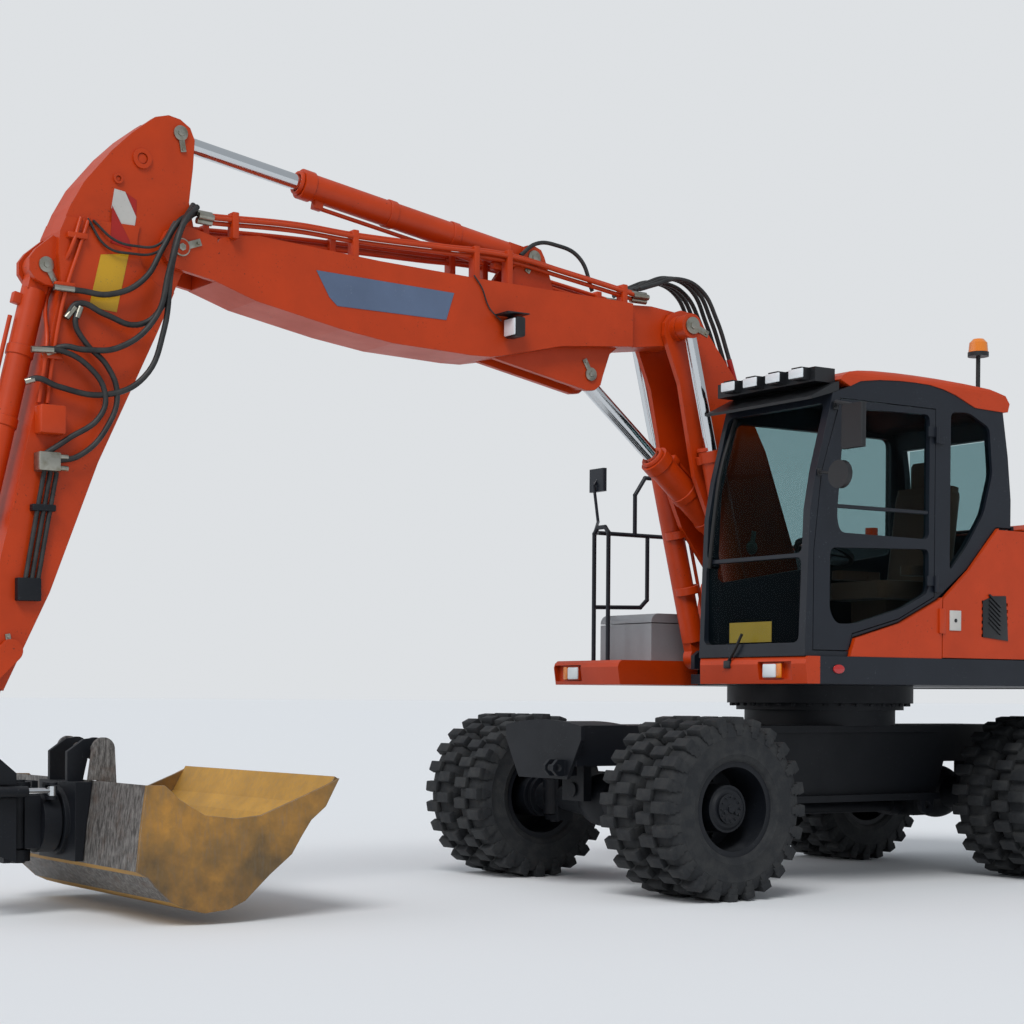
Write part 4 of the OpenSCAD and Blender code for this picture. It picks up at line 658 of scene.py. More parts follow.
class EXCAVATOR_OT_finishes(bpy.types.Operator):
    """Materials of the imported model's own pieces"""

    bl_idname = "excavator.finishes"
    bl_label = "Finishes"

    def execute(self, context):
        make_materials()
        by_slot = {
            "orange_paint": "orange",
            "dark_paint": "slate",
            "black_paint": "black",
            "grey_paint": "silver",
            "tyre": "rubber",
            "glass": "glass",
            "chrome_rod": "chrome",
            "worn_yellow": "ochre",
            "seat_fabric": "cloth",
            "black_plastic": "plastic",
            "amber_plastic": "amber",
        }
        slots = {part["node"]: part["material_slot"] for part in frame["record"]["subparts"]}
        for name, piece in frame["nodes"].items():
            piece.data.materials.clear()
            piece.data.materials.append(MATERIALS[by_slot[slots[name]]])
        # Rod eyes are forged on and painted with the barrels
        eye_radius = 0.125
        for name, (x, z) in ROD_EYES.items():
            mesh = frame["nodes"][name].data
            mesh.materials.append(MATERIALS["orange"])
            for face in mesh.polygons:
                gap = face.center - at(x, 0, z)
                face.material_index = int(math.hypot(gap.x, gap.z) < eye_radius)
        frame["nodes"]["bucket_bracket"].data.materials[0] = MATERIALS["steel"]
        # The bucket's back wall is bare steel; its inside, taken as the faces turned up or forward, gets a lighter
        # copy of the ochre as painted light; the beacon stands on a black post
        back_x, post_top = at(5.1, 0, 0).x, 3.4
        for name, material, chosen in (
            ("bucket", "steel", lambda f: f.normal.x > 0.6 and f.center.x > back_x),
            ("bucket", "inside", lambda f: f.normal.z > 0.1 or f.normal.x > 0.1),
            ("beacon", "plastic", lambda f: f.center.z < post_top),
        ):
            mesh = frame["nodes"][name].data
            mesh.materials.append(MATERIALS[material])
            for face in mesh.polygons:
                if face.material_index == 0 and chosen(face):
                    face.material_index = len(mesh.materials) - 1
        return {"FINISHED"}


class EXCAVATOR_OT_tyres(bpy.types.Operator):
    """Twin tyres with moulded side walls and two rows of staggered lugs"""

    bl_idname = "excavator.tyres"
    bl_label = "Tyres"

    def one_tyre(self, sizes):
        """One tyre about Z."""
        half, top = sizes.width / 2, sizes.radius
        base, rim = top - sizes.lug_height, sizes.rim
        # (radius, side) of the carcass from the bead to the crown
        wall = [
            (rim, half - 0.012), (rim + 0.010, half - 0.006), (rim + 0.030, half - 0.002),
            (rim + 0.034, half + 0.001), (rim + 0.042, half - 0.001), (rim + 0.095, half + 0.001),
            (rim + 0.130, half - 0.002), (rim + 0.134, half), (rim + 0.142, half - 0.003),
            (base - 0.045, half - 0.010), (base - 0.012, half - 0.024), (base, half - 0.042),
        ]
        inner = rim - 0.018
        mirrored = [(r, -z) for r, z in reversed(wall)]
        bm = lathe([(inner, half - 0.045), *wall, *mirrored, (inner, 0.045 - half)], 80)
        # One lug: a block over the crown, sunk into the carcass, that bends down the shoulder
        pitch = TAU / sizes.lugs
        wide, sunk = top * pitch * 0.5, 0.012
        tall = sizes.lug_height + sunk
        lug = bmesh.new()
        crown = block((tall, wide, half - 0.012), 0.006)
        for vert in crown.verts:
            vert.co.y *= 1.12 - 0.2 * (0.5 + vert.co.x / tall)
        stamp(lug, crown, move((base + (sizes.lug_height - sunk) / 2, 0, half / 2)))
        shoulder = block((0.075, wide * 0.92, 0.03), 0.006)
        stamp(lug, shoulder, move((base - 0.012, 0, half - 0.022)) @ turned(13, "Y"))
        heel = block((0.05, wide * 0.62, 0.020), 0.005)
        stamp(lug, heel, move((base - 0.052, 0, half - 0.010)) @ turned(6, "Y"))
        places = []
        for side in (1, -1):
            flip = Matrix.Diagonal((1, 1, side, 1))
            for i in range(sizes.lugs):
                angle = pitch * (i + (0 if side > 0 else 0.5))
                places.append(Matrix.Rotation(angle, 4, "Z") @ flip)
        stamp(bm, lug, *places)
        return bm

    def execute(self, context):
        sizes = context.scene.excavator_tyres
        for wheel in WHEELS:
            low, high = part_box("tyres_" + wheel)
            centre = (low + high) / 2
            reach = (high - low).y / 2 - sizes.width / 2
            bm = bmesh.new()
            # The tyres of a pair are turned apart by their places in radians, so that their lugs don't line up
            turn = turned(90, "X")
            places = [move(centre + Y * dy) @ turn @ Matrix.Rotation(dy, 4, "Z") for dy in (-reach, reach)]
            stamp(bm, self.one_tyre(sizes), *places)
            piece = finish_piece("twin_tyres_" + wheel, bm, "wheel_" + wheel, "rubber", 35)
            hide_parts("tyres_" + wheel)
        return {"FINISHED"}


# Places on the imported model


def tree_of(*names):
    """A search tree over the faces of some of the model's nodes."""
    points, faces = [], []
    for name in names:
        mesh = frame["nodes"][name].data
        faces += [[len(points) + i for i in face.vertices] for face in mesh.polygons]
        points += [v.co.copy() for v in mesh.vertices]
    return BVHTree.FromPolygons(points, faces)


def side_face(tree, x, z, side):
    """The y of a node's outermost face at (x, z), looked at from the left or the right."""
    hit = tree.ray_cast(at(x, side * 3, z), -side * Y)[0]
    return hit.y if hit else BOOM_Y


def rim_face(tree, x, z, radius, side):
    """The outermost face of the boss round a pin."""
    spots = [(x + radius * math.cos(i), z + radius * math.sin(i)) for i in range(6)]
    return max(side * side_face(tree, px, pz, side) for px, pz in spots) * side


def top_face(tree, x, y):
    """The height of the boom's uppermost face at (x, y), or that of its edge where (x, y) is beside it."""
    hit = tree.ray_cast(at(x, y, 6), -Z)[0]
    return hit.z if hit else BOOM_EDGE_Z


class EXCAVATOR_OT_hubs(bpy.types.Operator):
    """Hub covers with their bolts and oil plugs"""

    bl_idname = "excavator.hubs"
    bl_label = "Hubs"

    # Depth of the drum's end inside the rim, radii of the circles and angles of the plugs in radians
    RECESS = 0.046
    BOLT_CIRCLE, PLUG_CIRCLE = 0.072, 0.045
    PLUG_ANGLES = (0.4, 2.6)

    def execute(self, context):
        for wheel in WHEELS:
            low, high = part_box("rims_" + wheel)
            side = 1 if wheel.endswith("left") else -1
            centre = (low + high) / 2
            # The cover lies on the drum's end, and its bolts on the cover
            face = (high.y if side > 0 else -low.y) - self.RECESS
            cover, top = face + 0.006, face + 0.018
            bm = bmesh.new()
            stamp(bm, drum(0.088, 0.016, 0.004, 40), move((0, 0, cover)))
            stamp(bm, drum(0.026, 0.02, 0.004, 6), move((0, 0, top)))
            stamp(bm, drum(0.0075, 0.012, 0.002, 6), *ring(12, self.BOLT_CIRCLE, top))
            plugs = [Matrix.Rotation(a, 4, "Z") @ move((self.PLUG_CIRCLE, 0, top)) for a in self.PLUG_ANGLES]
            stamp(bm, drum(0.013, 0.014, 0.003, 8), *plugs)
            bm.transform(move((centre.x, 0, centre.z)) @ outward(side))
            finish_piece("hub_cover_" + wheel, bm, "wheel_" + wheel, "black")
        return {"FINISHED"}


class EXCAVATOR_OT_pin_heads(bpy.types.Operator):
    """Pin heads of the boom and arm, each kept by a flag with a bolt"""

    bl_idname = "excavator.pin_heads"
    bl_label = "Pin heads"

    # body, nodes that carry the head, x, z, radius, flag's direction in degrees
    PINS = (
        ("base_boom", ("base_boom", "lift_rods"), 1.31, 3.53, 0.055, 200),
        ("base_boom", ("base_boom",), 0.68, 2.165, 0.045, 100),
        ("front_boom", ("front_boom",), 4.81, 3.61, 0.05, 160),
        ("front_boom", ("front_boom",), 1.96, 3.19, 0.042, 60),
        ("front_boom", ("front_boom",), 2.4, 3.86, 0.045, -60),
        ("arm", ("arm",), 4.8, 4.24, 0.042, -100),
        ("arm", ("arm",), 5.56, 3.44, 0.042, 240),
        ("arm", ("arm",), 5.77, 1.4, 0.036, 80),
        ("arm", ("arm",), 6.0, 0.9, 0.042, 100),
    )

    def execute(self, context):
        made = {body: bmesh.new() for body in ("base_boom", "front_boom", "arm")}
        for body, nodes, x, z, radius, angle in self.PINS:
            tree = tree_of(*nodes)
            bm, turn = made[body], turned(-angle, "Y")
            for side in (1, -1):
                y, stand = rim_face(tree, x, z, radius, side), outward(side)
                stamp(bm, drum(radius, 0.014, 0.003, 28), move(at(x, y + side * 0.006, z)) @ stand)
                stamp(bm, drum(radius * 0.45, 0.02, 0.003, 6), move(at(x, y + side * 0.011, z)) @ stand)
                flag = block((radius * 1.9, 0.01, radius * 0.8), 0.002)
                stamp(bm, flag, move(at(x, y + side * 0.005, z)) @ turn @ move((radius * 1.5, 0, 0)))
                bolt = turn @ move((radius * 2.1, side * 0.012, 0)) @ stand
                stamp(bm, drum(0.011, 0.012, 0.002, 6), move(at(x, y, z)) @ bolt)
        for body, bm in made.items():
            finish_piece("pin_heads_" + body, bm, body, "zinc")
        # Raised welded bosses on the arm's crown
        tree = tree_of("arm")
        bm = bmesh.new()
        for x, z, radius in ((5.027, 4.068, 0.055), (5.167, 3.94, 0.028)):
            for side in (1, -1):
                y, stand = side_face(tree, x, z, side), outward(side)
                inner = radius * 0.55
                weld = lathe([(inner, 0), (inner, 0.012), (radius, 0.012), (radius, 0)], 28)
                stamp(bm, weld, move(at(x, y, z)) @ stand)
                stamp(bm, drum(radius * 0.5, 0.006, 0.002, 20), move(at(x, y + side * 0.003, z)) @ stand)
        finish_piece("arm_bosses", bm, "arm", "orange")
        return {"FINISHED"}


class EXCAVATOR_OT_cylinder_trim(bpy.types.Operator):
    """Gland nuts, port blocks and pipes of the large cylinders"""

    bl_idname = "excavator.cylinder_trim"
    bl_label = "Cylinder trim"

    # name, body, rods, foot as (x, z), sideways places, barrel's length and radius, rod's radius, pipe's side
    CYLINDERS = (
        ("lift", "lift_barrels", "lift_rods", (0.78, 1.45), (-0.224, 0.224), 1.35, 0.072, 0.040, 1),
        ("position", "position_barrel", "position_rod", (0.68, 2.165), (0.0,), 0.88, 0.088, 0.048, 1),
        ("arm", "arm_barrel", "arm_rod", (2.4, 3.86), (0.0,), 1.60, 0.076, 0.045, -1),
        ("bucket", "bucket_barrel", "bucket_rod", (5.56, 3.44), (0.0,), 1.38, 0.068, 0.038, 1),
    )

    def execute(self, context):
        hoses = context.scene.excavator_hoses
        for name, body, rods, foot, sides, length, radius, rod, turn in self.CYLINDERS:
            bm = bmesh.new()
            pipes = []
            eye = ROD_EYES[rods]
            line = Vector((eye[0] - foot[0], 0, eye[1] - foot[1])).normalized()
            across = line.cross(Y) * turn
            bore, lip = rod + 0.004, radius * 0.9
            out = radius + 0.016
            for offset in sides:
                start = at(foot[0], BOOM_Y + offset, foot[1])
                profile = [(bore, 0.016), (rod + 0.012, 0.022), (radius * 0.86, 0.022), (lip, 0.016)]
                gland = lathe(profile + [(lip, 0.0), (bore, 0.0)], 32)
                stamp(bm, gland, aim(start + line * (length + 0.004), line))
                low, high = radius + 0.001, radius + 0.007
                band = lathe([(low, -0.028), (high, -0.024), (high, 0.024), (low, 0.028)], 32)
                reaches = (length - 0.05, length * 0.62, length * 0.34)
                stamp(bm, band, *[aim(start + line * reach, line) for reach in reaches])
                port = start + line * (length - 0.13) + across * out
                for point in (port, start + line * 0.2 + across * out):
                    stamp(bm, block((0.05, 0.05, 0.06), 0.006), aim(point, line))
                ends = [port - line * reach + across * 0.012 for reach in (0.02, 0.12)]
                ends += [start + line * reach + across * (radius + 0.028) for reach in (0.42, 0.3)]
                pipes.append(ends)
            finish_piece(name + "_cylinder_trim", bm, body, "orange", 35)
            piping(name + "_cylinder_pipe", pipes, hoses.pipe * 0.75, body, "orange")
        return {"FINISHED"}


class EXCAVATOR_OT_boom_pipes(bpy.types.Operator):
    """Steel pipes along the boom's top with their clamps, and the arm's edge pipes"""

    bl_idname = "excavator.boom_pipes"
    bl_label = "Boom pipes"

    # The pipes' run above the boom's top as (x, z, further out), wide enough at the nose for the arm to pass
    STATIONS = (
        (1.62, 3.722, 0), (2.2, 3.80, 0), (2.62, 3.85, 0), (3.1, 3.842, 0),
        (3.7, 3.832, 0), (4.1, 3.83, 0.04), (4.63, 3.805, 0.042),
    )

    def execute(self, context):
        hoses = context.scene.excavator_hoses
        tree = tree_of("front_boom")
        routes, clamps, fittings = [], bmesh.new(), []
        for side in (1, -1):
            for reach, lift in ((0.13, 0.0), (0.13, -0.04), (0.155, -0.018)):
                route = [at(x, BOOM_Y + side * (reach + out), z + lift) for x, z, out in self.STATIONS]
                routes.append(route)
                fittings.append([route[0] + Vector((-0.07, 0, 0)), route[0] + Vector((0.05, 0, 0))])
                fittings.append([route[-1], route[-1] + Vector((0.09, 0, 0.004))])
            for x, z in ((1.74, 3.745), (2.62, 3.85), (2.86, 3.845), (3.7, 3.832), (4.5, 3.815)):
                y = BOOM_Y + side * (0.132 if x < 4 else 0.183)
                foot = top_face(tree, x, BOOM_Y + side * 0.12) - 0.02
                top = z + 0.02
                stamp(clamps, block((0.04, 0.07, top - foot), 0.006), move(at(x, y, (top + foot) / 2)))
        piping("boom_top_pipes", routes, hoses.pipe * 0.8, "front_boom", "orange")
        finish_piece("boom_top_clamps", clamps, "front_boom", "orange")
        piping("boom_top_fittings", fittings, hoses.pipe * 1.15, "front_boom", "zinc", 6)
        # Steel pipes down the arm's front edge from the elbow to the valve
        arm = tree_of("arm")
        edge = ((5.386, 3.702), (5.448, 3.52), (5.514, 3.317), (5.58, 3.0), (5.62, 2.7))
        lines = []
        for dx in (0.0, -0.045):
            lines.append([at(x + dx, side_face(arm, x + dx - 0.02, z, 1) + 0.016, z) for x, z in edge])
        piping("arm_edge_pipes", lines, hoses.pipe * 0.7, "arm", "orange")
        blocks = []
        for x, z in ((5.43, 3.6), (5.5, 3.33), (5.57, 2.95)):
            y = side_face(arm, x - 0.03, z, 1)
            blocks.append(((0.11, 0.034, 0.03), 0.004, at(x - 0.02, y + 0.014, z)))
        # Valve cover and the valve's own block
        y = side_face(arm, 5.57, 2.61, 1)
        blocks.append(((0.14, 0.1, 0.15), 0.01, at(5.57, y + 0.048, 2.61)))
        from_blocks("arm_clamps", "arm", "orange", blocks)
        bm = bmesh.new()
        stamp(bm, block((0.12, 0.09, 0.1), 0.008), move(at(5.585, y + 0.045, 2.39)))
        for dz in (-0.03, 0.03):
            stamp(bm, drum(0.014, 0.05, 0.003, 12), move(at(5.50, y + 0.06, 2.39 + dz)) @ turned(90, "Y"))
        finish_piece("arm_valve", bm, "arm", "zinc")
        return {"FINISHED"}


class EXCAVATOR_OT_hoses(bpy.types.Operator):
    """Hoses over the boom's knee, across the elbow and down the arm"""

    bl_idname = "excavator.hoses"
    bl_label = "Hoses"

    # Hoses on the arm's left face as (x, out from the arm's middle, z), from fitting to boom
    ARM = (
        ((5.546, 0.17, 3.31), (5.40, 0.18, 3.306), (5.24, 0.19, 3.303), (5.05, 0.20, 3.40),
         (4.93, 0.21, 3.60), (4.84, 0.20, 3.74), (4.72, 0.15, 3.81)),
        ((5.478, 0.17, 3.155), (5.417, 0.18, 3.236), (5.263, 0.19, 3.194), (5.089, 0.21, 3.154),
         (4.966, 0.23, 3.242), (4.91, 0.24, 3.48), (4.84, 0.23, 3.70), (4.72, 0.16, 3.82)),
        ((5.703, 0.17, 2.80), (5.643, 0.19, 2.821), (5.538, 0.20, 2.788), (5.267, 0.22, 2.765),
         (5.059, 0.24, 2.874), (4.949, 0.25, 3.136), (4.905, 0.26, 3.50), (4.83, 0.25, 3.73),
         (4.72, 0.18, 3.84)),
        ((5.60, 0.15, 2.95), (5.50, 0.19, 3.00), (5.40, 0.22, 2.99), (5.20, 0.24, 3.02),
         (5.0, 0.26, 3.20), (4.93, 0.27, 3.45), (4.85, 0.26, 3.70), (4.72, 0.13, 3.86)),
    )
    LOOPS = (
        ((5.674, 0.18, 2.971), (5.519, 0.20, 2.976), (5.361, 0.22, 2.896), (5.281, 0.23, 2.771),
         (5.303, 0.23, 2.653), (5.484, 0.21, 2.513), (5.60, 0.19, 2.43)),
        ((5.40, 0.18, 3.22), (5.43, 0.18, 3.14), (5.379, 0.19, 3.037), (5.259, 0.21, 2.916),
         (5.207, 0.22, 2.778), (5.257, 0.22, 2.604), (5.41, 0.20, 2.434), (5.55, 0.19, 2.395)),
    )
    THIN = (
        ((5.319, 0.15, 3.694), (5.20, 0.17, 3.60), (5.082, 0.18, 3.581), (4.96, 0.19, 3.60),
         (4.86, 0.19, 3.74)),
        ((5.35, 0.15, 3.70), (5.24, 0.16, 3.56), (5.12, 0.17, 3.54), (4.95, 0.18, 3.57),
         (4.85, 0.20, 3.72)),
    )

    def joined(self, name, routes, radius, first, second, start, end):
        """Hoses between two bodies, made as one piece that rides on no body."""
        piece = piping(name, self.run(routes), radius, None, "hose", 6)
        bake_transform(piece)

    def run(self, routes):
        """Routes given from the boom's middle plane, as places in the frame."""
        return [[at(x, BOOM_Y + y, z) for x, y, z in route] for route in routes]

    def execute(self, context):
        hoses = context.scene.excavator_hoses
        big, thin = hoses.pressure, hoses.pilot
        elbow = (at(4.78, BOOM_Y, 3.80), at(4.98, BOOM_Y, 3.45))
        self.joined("elbow_hoses", self.ARM, big * 1.15, "front_boom", "arm", *elbow)
        self.joined("elbow_pilot_hoses", self.THIN, thin * 0.8, "front_boom", "arm", *elbow)
        piping("arm_hose_loops", self.run(self.LOOPS), big * 1.1, "arm", "hose", 6)
        ends = [[route[0], route[0].lerp(route[1], 0.75)] for route in self.run(self.ARM + self.LOOPS)]
        piping("arm_hose_fittings", ends, big * 1.28, "arm", "zinc", 6)
        # Hoses over the knee, from the boom's top to fittings on the base boom's back
        routes, ends, line = [], [], Vector((0.045, 0, 0.12))
        for i in range(6):
            y, rise = 0.135 - 0.054 * i, 0.012 * (i % 3)
            routes.append([
                (1.60, y, 3.755), (1.47, y, 3.80 + rise), (1.286, y, 3.855 + rise), (1.09, y, 3.80 + rise),
                (0.965, y, 3.63), (0.875, y, 3.43), (0.83, y, 3.31),
            ])
            foot = at(0.83, BOOM_Y + y, 3.31)
            ends.append([foot - line * 0.9, foot + line * 0.6])
        knee = (at(1.05, BOOM_Y, 3.45), at(1.55, BOOM_Y, 3.78))
        self.joined("knee_hoses", routes, big, "base_boom", "front_boom", *knee)
        piping("knee_fittings", ends, big * 1.25, "base_boom", "warning", 6)
        # Small arch above the boom, beside the work lamp's cable
        boom = tree_of("front_boom")
        y = 0.1
        front, back = (top_face(boom, x, y + BOOM_Y) for x in (2.50, 1.95))
        arch = [(2.50, y, front + 0.02), (2.38, y, 3.95), (2.24, y, 3.96), (2.05, y, 3.90)]
        arch.append((1.95, y, back + 0.05))
        piping("boom_hose_arch", self.run([arch]), big * 0.9, "front_boom", "hose", 6)
        y = side_face(boom, 2.8, 3.55, 1) - BOOM_Y + 0.01
        cable = [[(2.894, y, 3.683), (2.84, y, 3.62), (2.78, y, 3.5), (2.70, y + 0.01, 3.43)]]
        piping("lamp_cable", self.run(cable), thin * 0.5, "front_boom", "hose")
        # Tool hoses that run on down the arm's left face
        arm = tree_of("arm")
        tool = []
        for x in (5.60, 5.60 - 0.035, 5.60 - 0.07):
            tool.append([(x, 0.18, 2.34), (x + 0.04, 0.17, 2.1), (x + 0.10, 0.165, 1.75)])
        piping("tool_hoses", self.run(tool), big * 0.9, "arm", "hose", 6)
        blocks = []
        for x, z, tall in ((5.62, 2.15, 0.035), (5.70, 1.72, 0.12)):
            blocks.append(((0.13, 0.05, tall), 0.005, at(x - 0.02, side_face(arm, x, z, 1) + 0.024, z)))
        from_blocks("tool_hose_clamps", "arm", "black", blocks)
        return {"FINISHED"}


class EXCAVATOR_OT_plates(bpy.types.Operator):
    """Blank plates and reflective films on boom and arm"""

    bl_idname = "excavator.plates"
    bl_label = "Plates"

    # Thickness of every plate and film
    THICK = 0.0012
    # name, body that carries it, material, distance out, outline as (x, z)
    PLATES = (
        # Parallelogram of reflective film: red corners beside a white band
        ("arm_film_red_low", "arm", "warning", 0.0012, (
            (5.205, 3.790), (5.215, 3.590), (5.090, 3.568), (5.105, 3.62),
        )),
        ("arm_film_red_high", "arm", "warning", 0.0012, ((5.120, 3.872), (5.058, 3.840), (5.060, 3.745))),
        ("arm_film_white", "arm", "white", 0.0016, (
            (5.188, 3.885), (5.125, 3.876), (5.060, 3.750), (5.085, 3.595), (5.110, 3.610),
            (5.205, 3.780),
        )),
        ("arm_label_blank", "arm", "yellow", 0.0012, (
            (5.270, 3.520), (5.106, 3.545), (5.176, 3.222), (5.336, 3.236),
        )),
        ("boom_plate_blank", "front_boom", "plate", 0.002, (
            (3.967, 3.587), (3.029, 3.563), (3.084, 3.398), (3.828, 3.399), (3.881, 3.444),
        )),
    )

    def execute(self, context):
        for name, body, material, out, outline in self.PLATES:
            face = side_face(tree_of(body), *middle(outline), 1)
            bm = slab(outline, self.THICK)
            bm.transform(move((0, face + out, 0)))
            finish_piece(name, bm, body, material, 0)
        return {"FINISHED"}


class EXCAVATOR_OT_work_lamps(bpy.types.Operator):
    """Lenses of the lamps and the boom's work lamp"""

    bl_idname = "excavator.work_lamps"
    bl_label = "Lamps"

    def execute(self, context):
        # Roof bar: four flat lenses set in their housings
        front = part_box("lamp_bar")[1].x + 0.003
        lenses = [((0.012, 0.12, 0.056), 0.005, (front, y, 3.113)) for y in (0.487, 0.689, 0.891, 1.093)]
        from_blocks("roof_lamp_lenses", "house", "clear", lenses)
        # Head lamps in the front fascias, the amber indicator outside
        lenses, amber = [], []
        for y, side in ((0.942, 1), (-1.057, -1)):
            lenses.append(((0.012, 0.115, 0.082), 0.008, at(1.299, y - side * 0.018, 1.344)))
            amber.append(((0.012, 0.045, 0.088), 0.008, at(1.299, y + side * 0.066, 1.344)))
        from_blocks("head_lamp_lenses", "house", "clear", lenses)
        from_blocks("indicator_lenses", "house", "amber", amber)
        # Work lamp on the boom's left side: housing, hood and foot
        y = side_face(tree_of("front_boom"), 2.65, 3.45, 1)
        from_blocks("boom_work_lamp", "front_boom", "plastic", (
            ((0.07, 0.13, 0.12), 0.014, at(2.645, y + 0.085, 3.385)),
            ((0.16, 0.14, 0.008), 0.002, at(2.66, y + 0.075, 3.465)),
            ((0.03, 0.03, 0.09), 0.004, at(2.63, y + 0.015, 3.44)),
        ))
        lens_block = ((0.012, 0.11, 0.1), 0.006, at(2.684, y + 0.085, 3.385))
        from_blocks("boom_work_lamp_lens", "front_boom", "clear", [lens_block])
        return {"FINISHED"}


class EXCAVATOR_OT_cab_fittings(bpy.types.Operator):
    """Wipers, blank plate, seat pads and door handle of the cab"""

    bl_idname = "excavator.cab_fittings"
    bl_label = "Cab fittings"

    def execute(self, context):
        # Wiper: its rail down the right pillar, the arm and blade on the lower glass
        rail = [[at(1.283, 0.352, 1.99), at(1.262, 0.37, 2.3), at(1.21, 0.375, 2.62), at(1.10, 0.38, 2.93)]]
        piping("wiper_rail", rail, 0.013, "house", "seal")
        wiper = [[at(1.306, 0.557, 1.40), at(1.315, 0.62, 1.46), at(1.306, 0.684, 1.57)]]
        piping("lower_wiper", wiper, 0.009, "house", "seal")
        motor = ((0.03, 0.06, 0.05), 0.008, at(1.305, 0.557, 1.385))
        from_blocks("wiper_motor", "house", "plastic", [motor])
        # Yellow plate behind the lower windscreen, blank
        plate = ((0.003, 0.38, 0.125), 0.0, at(1.243, 0.69, 1.582))
        from_blocks("cab_plate_blank", "house", "yellow", [plate], 0)
        # Seat pads over the seat's frame, crowned and drawn in along their edges
        low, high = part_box("seat")
        seat_y = (low.y + high.y) / 2
        # name, size, place forward of the slewing axis and above the seat's foot, lean in degrees
        for name, size, place, lean in (
            ("seat_cushion", (0.53, 0.51, 0.122), (0.12, 0.385), 0),
            ("seat_backrest", (0.132, 0.482, 0.652), (-0.186, 0.729), -8),
            ("seat_headrest", (0.102, 0.272, 0.212), (-0.245, 1.135), 0),
        ):
            pad = block(size, min(size) * 0.34, 4)
            bmesh.ops.subdivide_edges(pad, edges=pad.edges[:], cuts=1, use_grid_fill=True)
            thin = size.index(min(size))
            for vert in pad.verts:
                spread = [vert.co[i] / (size[i] / 2) for i in range(3)]
                crown = math.prod(math.cos(spread[i] * 1.3) for i in range(3) if i != thin)
                vert.co[thin] *= 0.97 + 0.06 * crown
            bmesh.ops.transform(pad, matrix=turned(lean, "Y"), verts=pad.verts)
            point = at(place[0], seat_y, low.z + place[1])
            bmesh.ops.translate(pad, vec=point, verts=pad.verts)
            finish_piece(name, pad, "house", "cloth", 60)
        # Door handle and its pocket
        x, z = 0.738, 2.09
        face = side_face(tree_of("cab_door"), x, z, 1)
        from_blocks("cab_door_handle", "entry_door", "plastic", (
            ((0.12, 0.012, 0.09), 0.012, at(x, face + 0.004, z)),
            ((0.1, 0.02, 0.024), 0.008, at(x, face + 0.018, z + 0.015)),
        ))
        return {"FINISHED"}


class EXCAVATOR_OT_house_details(bpy.types.Operator):
    """Latch plate, hinge strap, vent and reflector of the left side"""

    bl_idname = "excavator.house_details"
    bl_label = "House details"

    def execute(self, context):
        door = tree_of("left_service_door", "side_panels")
        # Bright latch plate with its key cover, and the orange hinge strap beside it
        y = side_face(door, 0.06, 1.66, 1)
        black = bmesh.new()
        stamp(black, drum(0.012, 0.012, 0.002, 12), move(at(0.05, y + 0.005, 1.669)) @ turned(90, "X"))
        plate = ((0.10, 0.006, 0.125), 0.002, at(0.05, y + 0.003, 1.669))
        from_blocks("latch_plate", "left_door", "white", [plate])
        strap = ((0.05, 0.014, 0.155), 0.004, at(0.17, side_face(door, 0.17, 1.66, 1) + 0.006, 1.663))
        from_blocks("hinge_strap", "left_door", "orange", [strap])
        # Dark louvred vent: a pentagon of mesh behind slanting slats
        outline = [(-0.195, 1.798), (-0.286, 1.832), (-0.405, 1.836), (-0.428, 1.551), (-0.198, 1.572)]
        x, z = middle(outline)
        y = side_face(door, x + 0.12, z + 0.1, 1)
        stamp(black, slab(outline, 0.006, 0.001), move((0, y + 0.003, 0)))
        slats = [move(at(x, y + 0.008, z - 0.09 + 0.029 * i)) @ turned(-35, "Y") for i in range(7)]
        stamp(black, block((0.13, 0.014, 0.012), 0.002), *slats)
        finish_piece("side_vent", black, "left_door", "plastic")
        # Oval reflector on the skirt
        y = side_face(tree_of("house_deck"), 1.044, 1.354, 1)
        bm = bmesh.new()
        oval = Matrix.Diagonal((1.5, 1, 0.9, 1)) @ turned(90, "X")
        stamp(bm, drum(0.03, 0.012, 0.004, 24), move(at(1.044, y + 0.004, 1.354)) @ oval)
        finish_piece("side_reflector", bm, "house", "red")
        return {"FINISHED"}


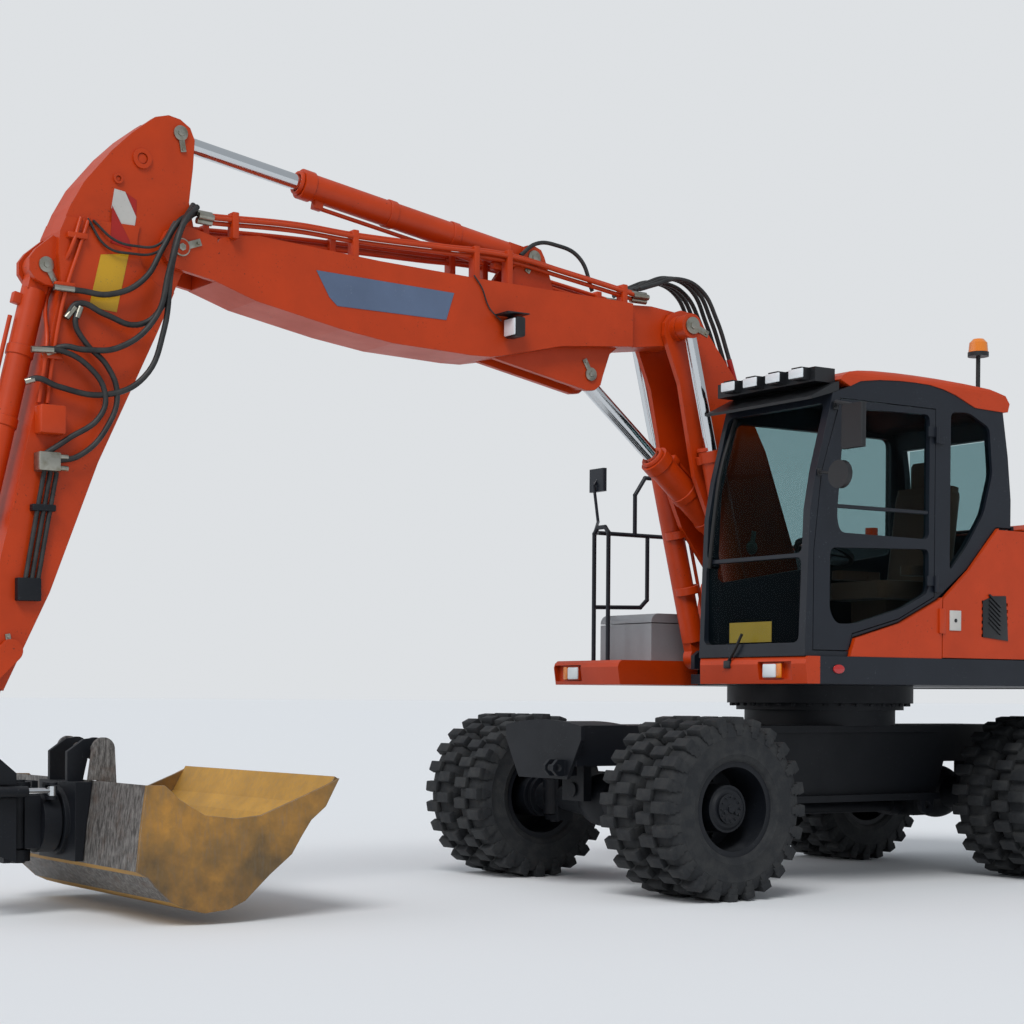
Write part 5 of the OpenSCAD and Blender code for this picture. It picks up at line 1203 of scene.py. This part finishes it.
class EXCAVATOR_OT_chassis_details(bpy.types.Operator):
    """Bolts of the slew ring"""

    bl_idname = "excavator.chassis_details"
    bl_label = "Chassis details"

    def execute(self, context):
        low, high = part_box("slew_ring")
        bm = bmesh.new()
        radius = (high.x - low.x) / 2 - 0.03
        centre = move((SLEW.x, 0, low.z - 0.010))
        stamp(bm, drum(0.014, 0.02, 0.003, 6), *[centre @ place for place in ring(36, radius, 0)])
        finish_piece("slew_ring_bolts", bm, "undercarriage", "black")
        return {"FINISHED"}


CLASSES = [PaintColours, TyreSizes, HoseSizes]
OPERATORS = [
    EXCAVATOR_OT_stage,
    EXCAVATOR_OT_finishes,
    EXCAVATOR_OT_tyres,
    EXCAVATOR_OT_hubs,
    EXCAVATOR_OT_pin_heads,
    EXCAVATOR_OT_cylinder_trim,
    EXCAVATOR_OT_boom_pipes,
    EXCAVATOR_OT_hoses,
    EXCAVATOR_OT_plates,
    EXCAVATOR_OT_work_lamps,
    EXCAVATOR_OT_cab_fittings,
    EXCAVATOR_OT_house_details,
    EXCAVATOR_OT_chassis_details,
]


class EXCAVATOR_PT_builder(bpy.types.Panel):
    """The builder's steps in order"""

    bl_label = "Excavator"
    bl_idname = "EXCAVATOR_PT_builder"
    bl_space_type = "VIEW_3D"
    bl_region_type = "UI"
    bl_category = "Excavator"

    def draw(self, context):
        for group in ("excavator_paint", "excavator_tyres", "excavator_hoses"):
            settings = getattr(context.scene, group)
            for prop in settings.bl_rna.properties:
                if prop.identifier not in ("rna_type", "name"):
                    self.layout.prop(settings, prop.identifier)
        for operator in OPERATORS:
            self.layout.operator(operator.bl_idname)


def register():
    for cls in CLASSES + OPERATORS + [EXCAVATOR_PT_builder]:
        bpy.utils.register_class(cls)
    bpy.types.Scene.excavator_paint = PointerProperty(type=PaintColours)
    bpy.types.Scene.excavator_tyres = PointerProperty(type=TyreSizes)
    bpy.types.Scene.excavator_hoses = PointerProperty(type=HoseSizes)


def unregister():
    for group in ("excavator_paint", "excavator_tyres", "excavator_hoses"):
        delattr(bpy.types.Scene, group)
    for cls in reversed(CLASSES + OPERATORS + [EXCAVATOR_PT_builder]):
        bpy.utils.unregister_class(cls)


def main():
    register()
    for operator in OPERATORS:
        area, name = operator.bl_idname.split(".")
        getattr(getattr(bpy.ops, area), name)()


if __name__ == "__main__":
    main()
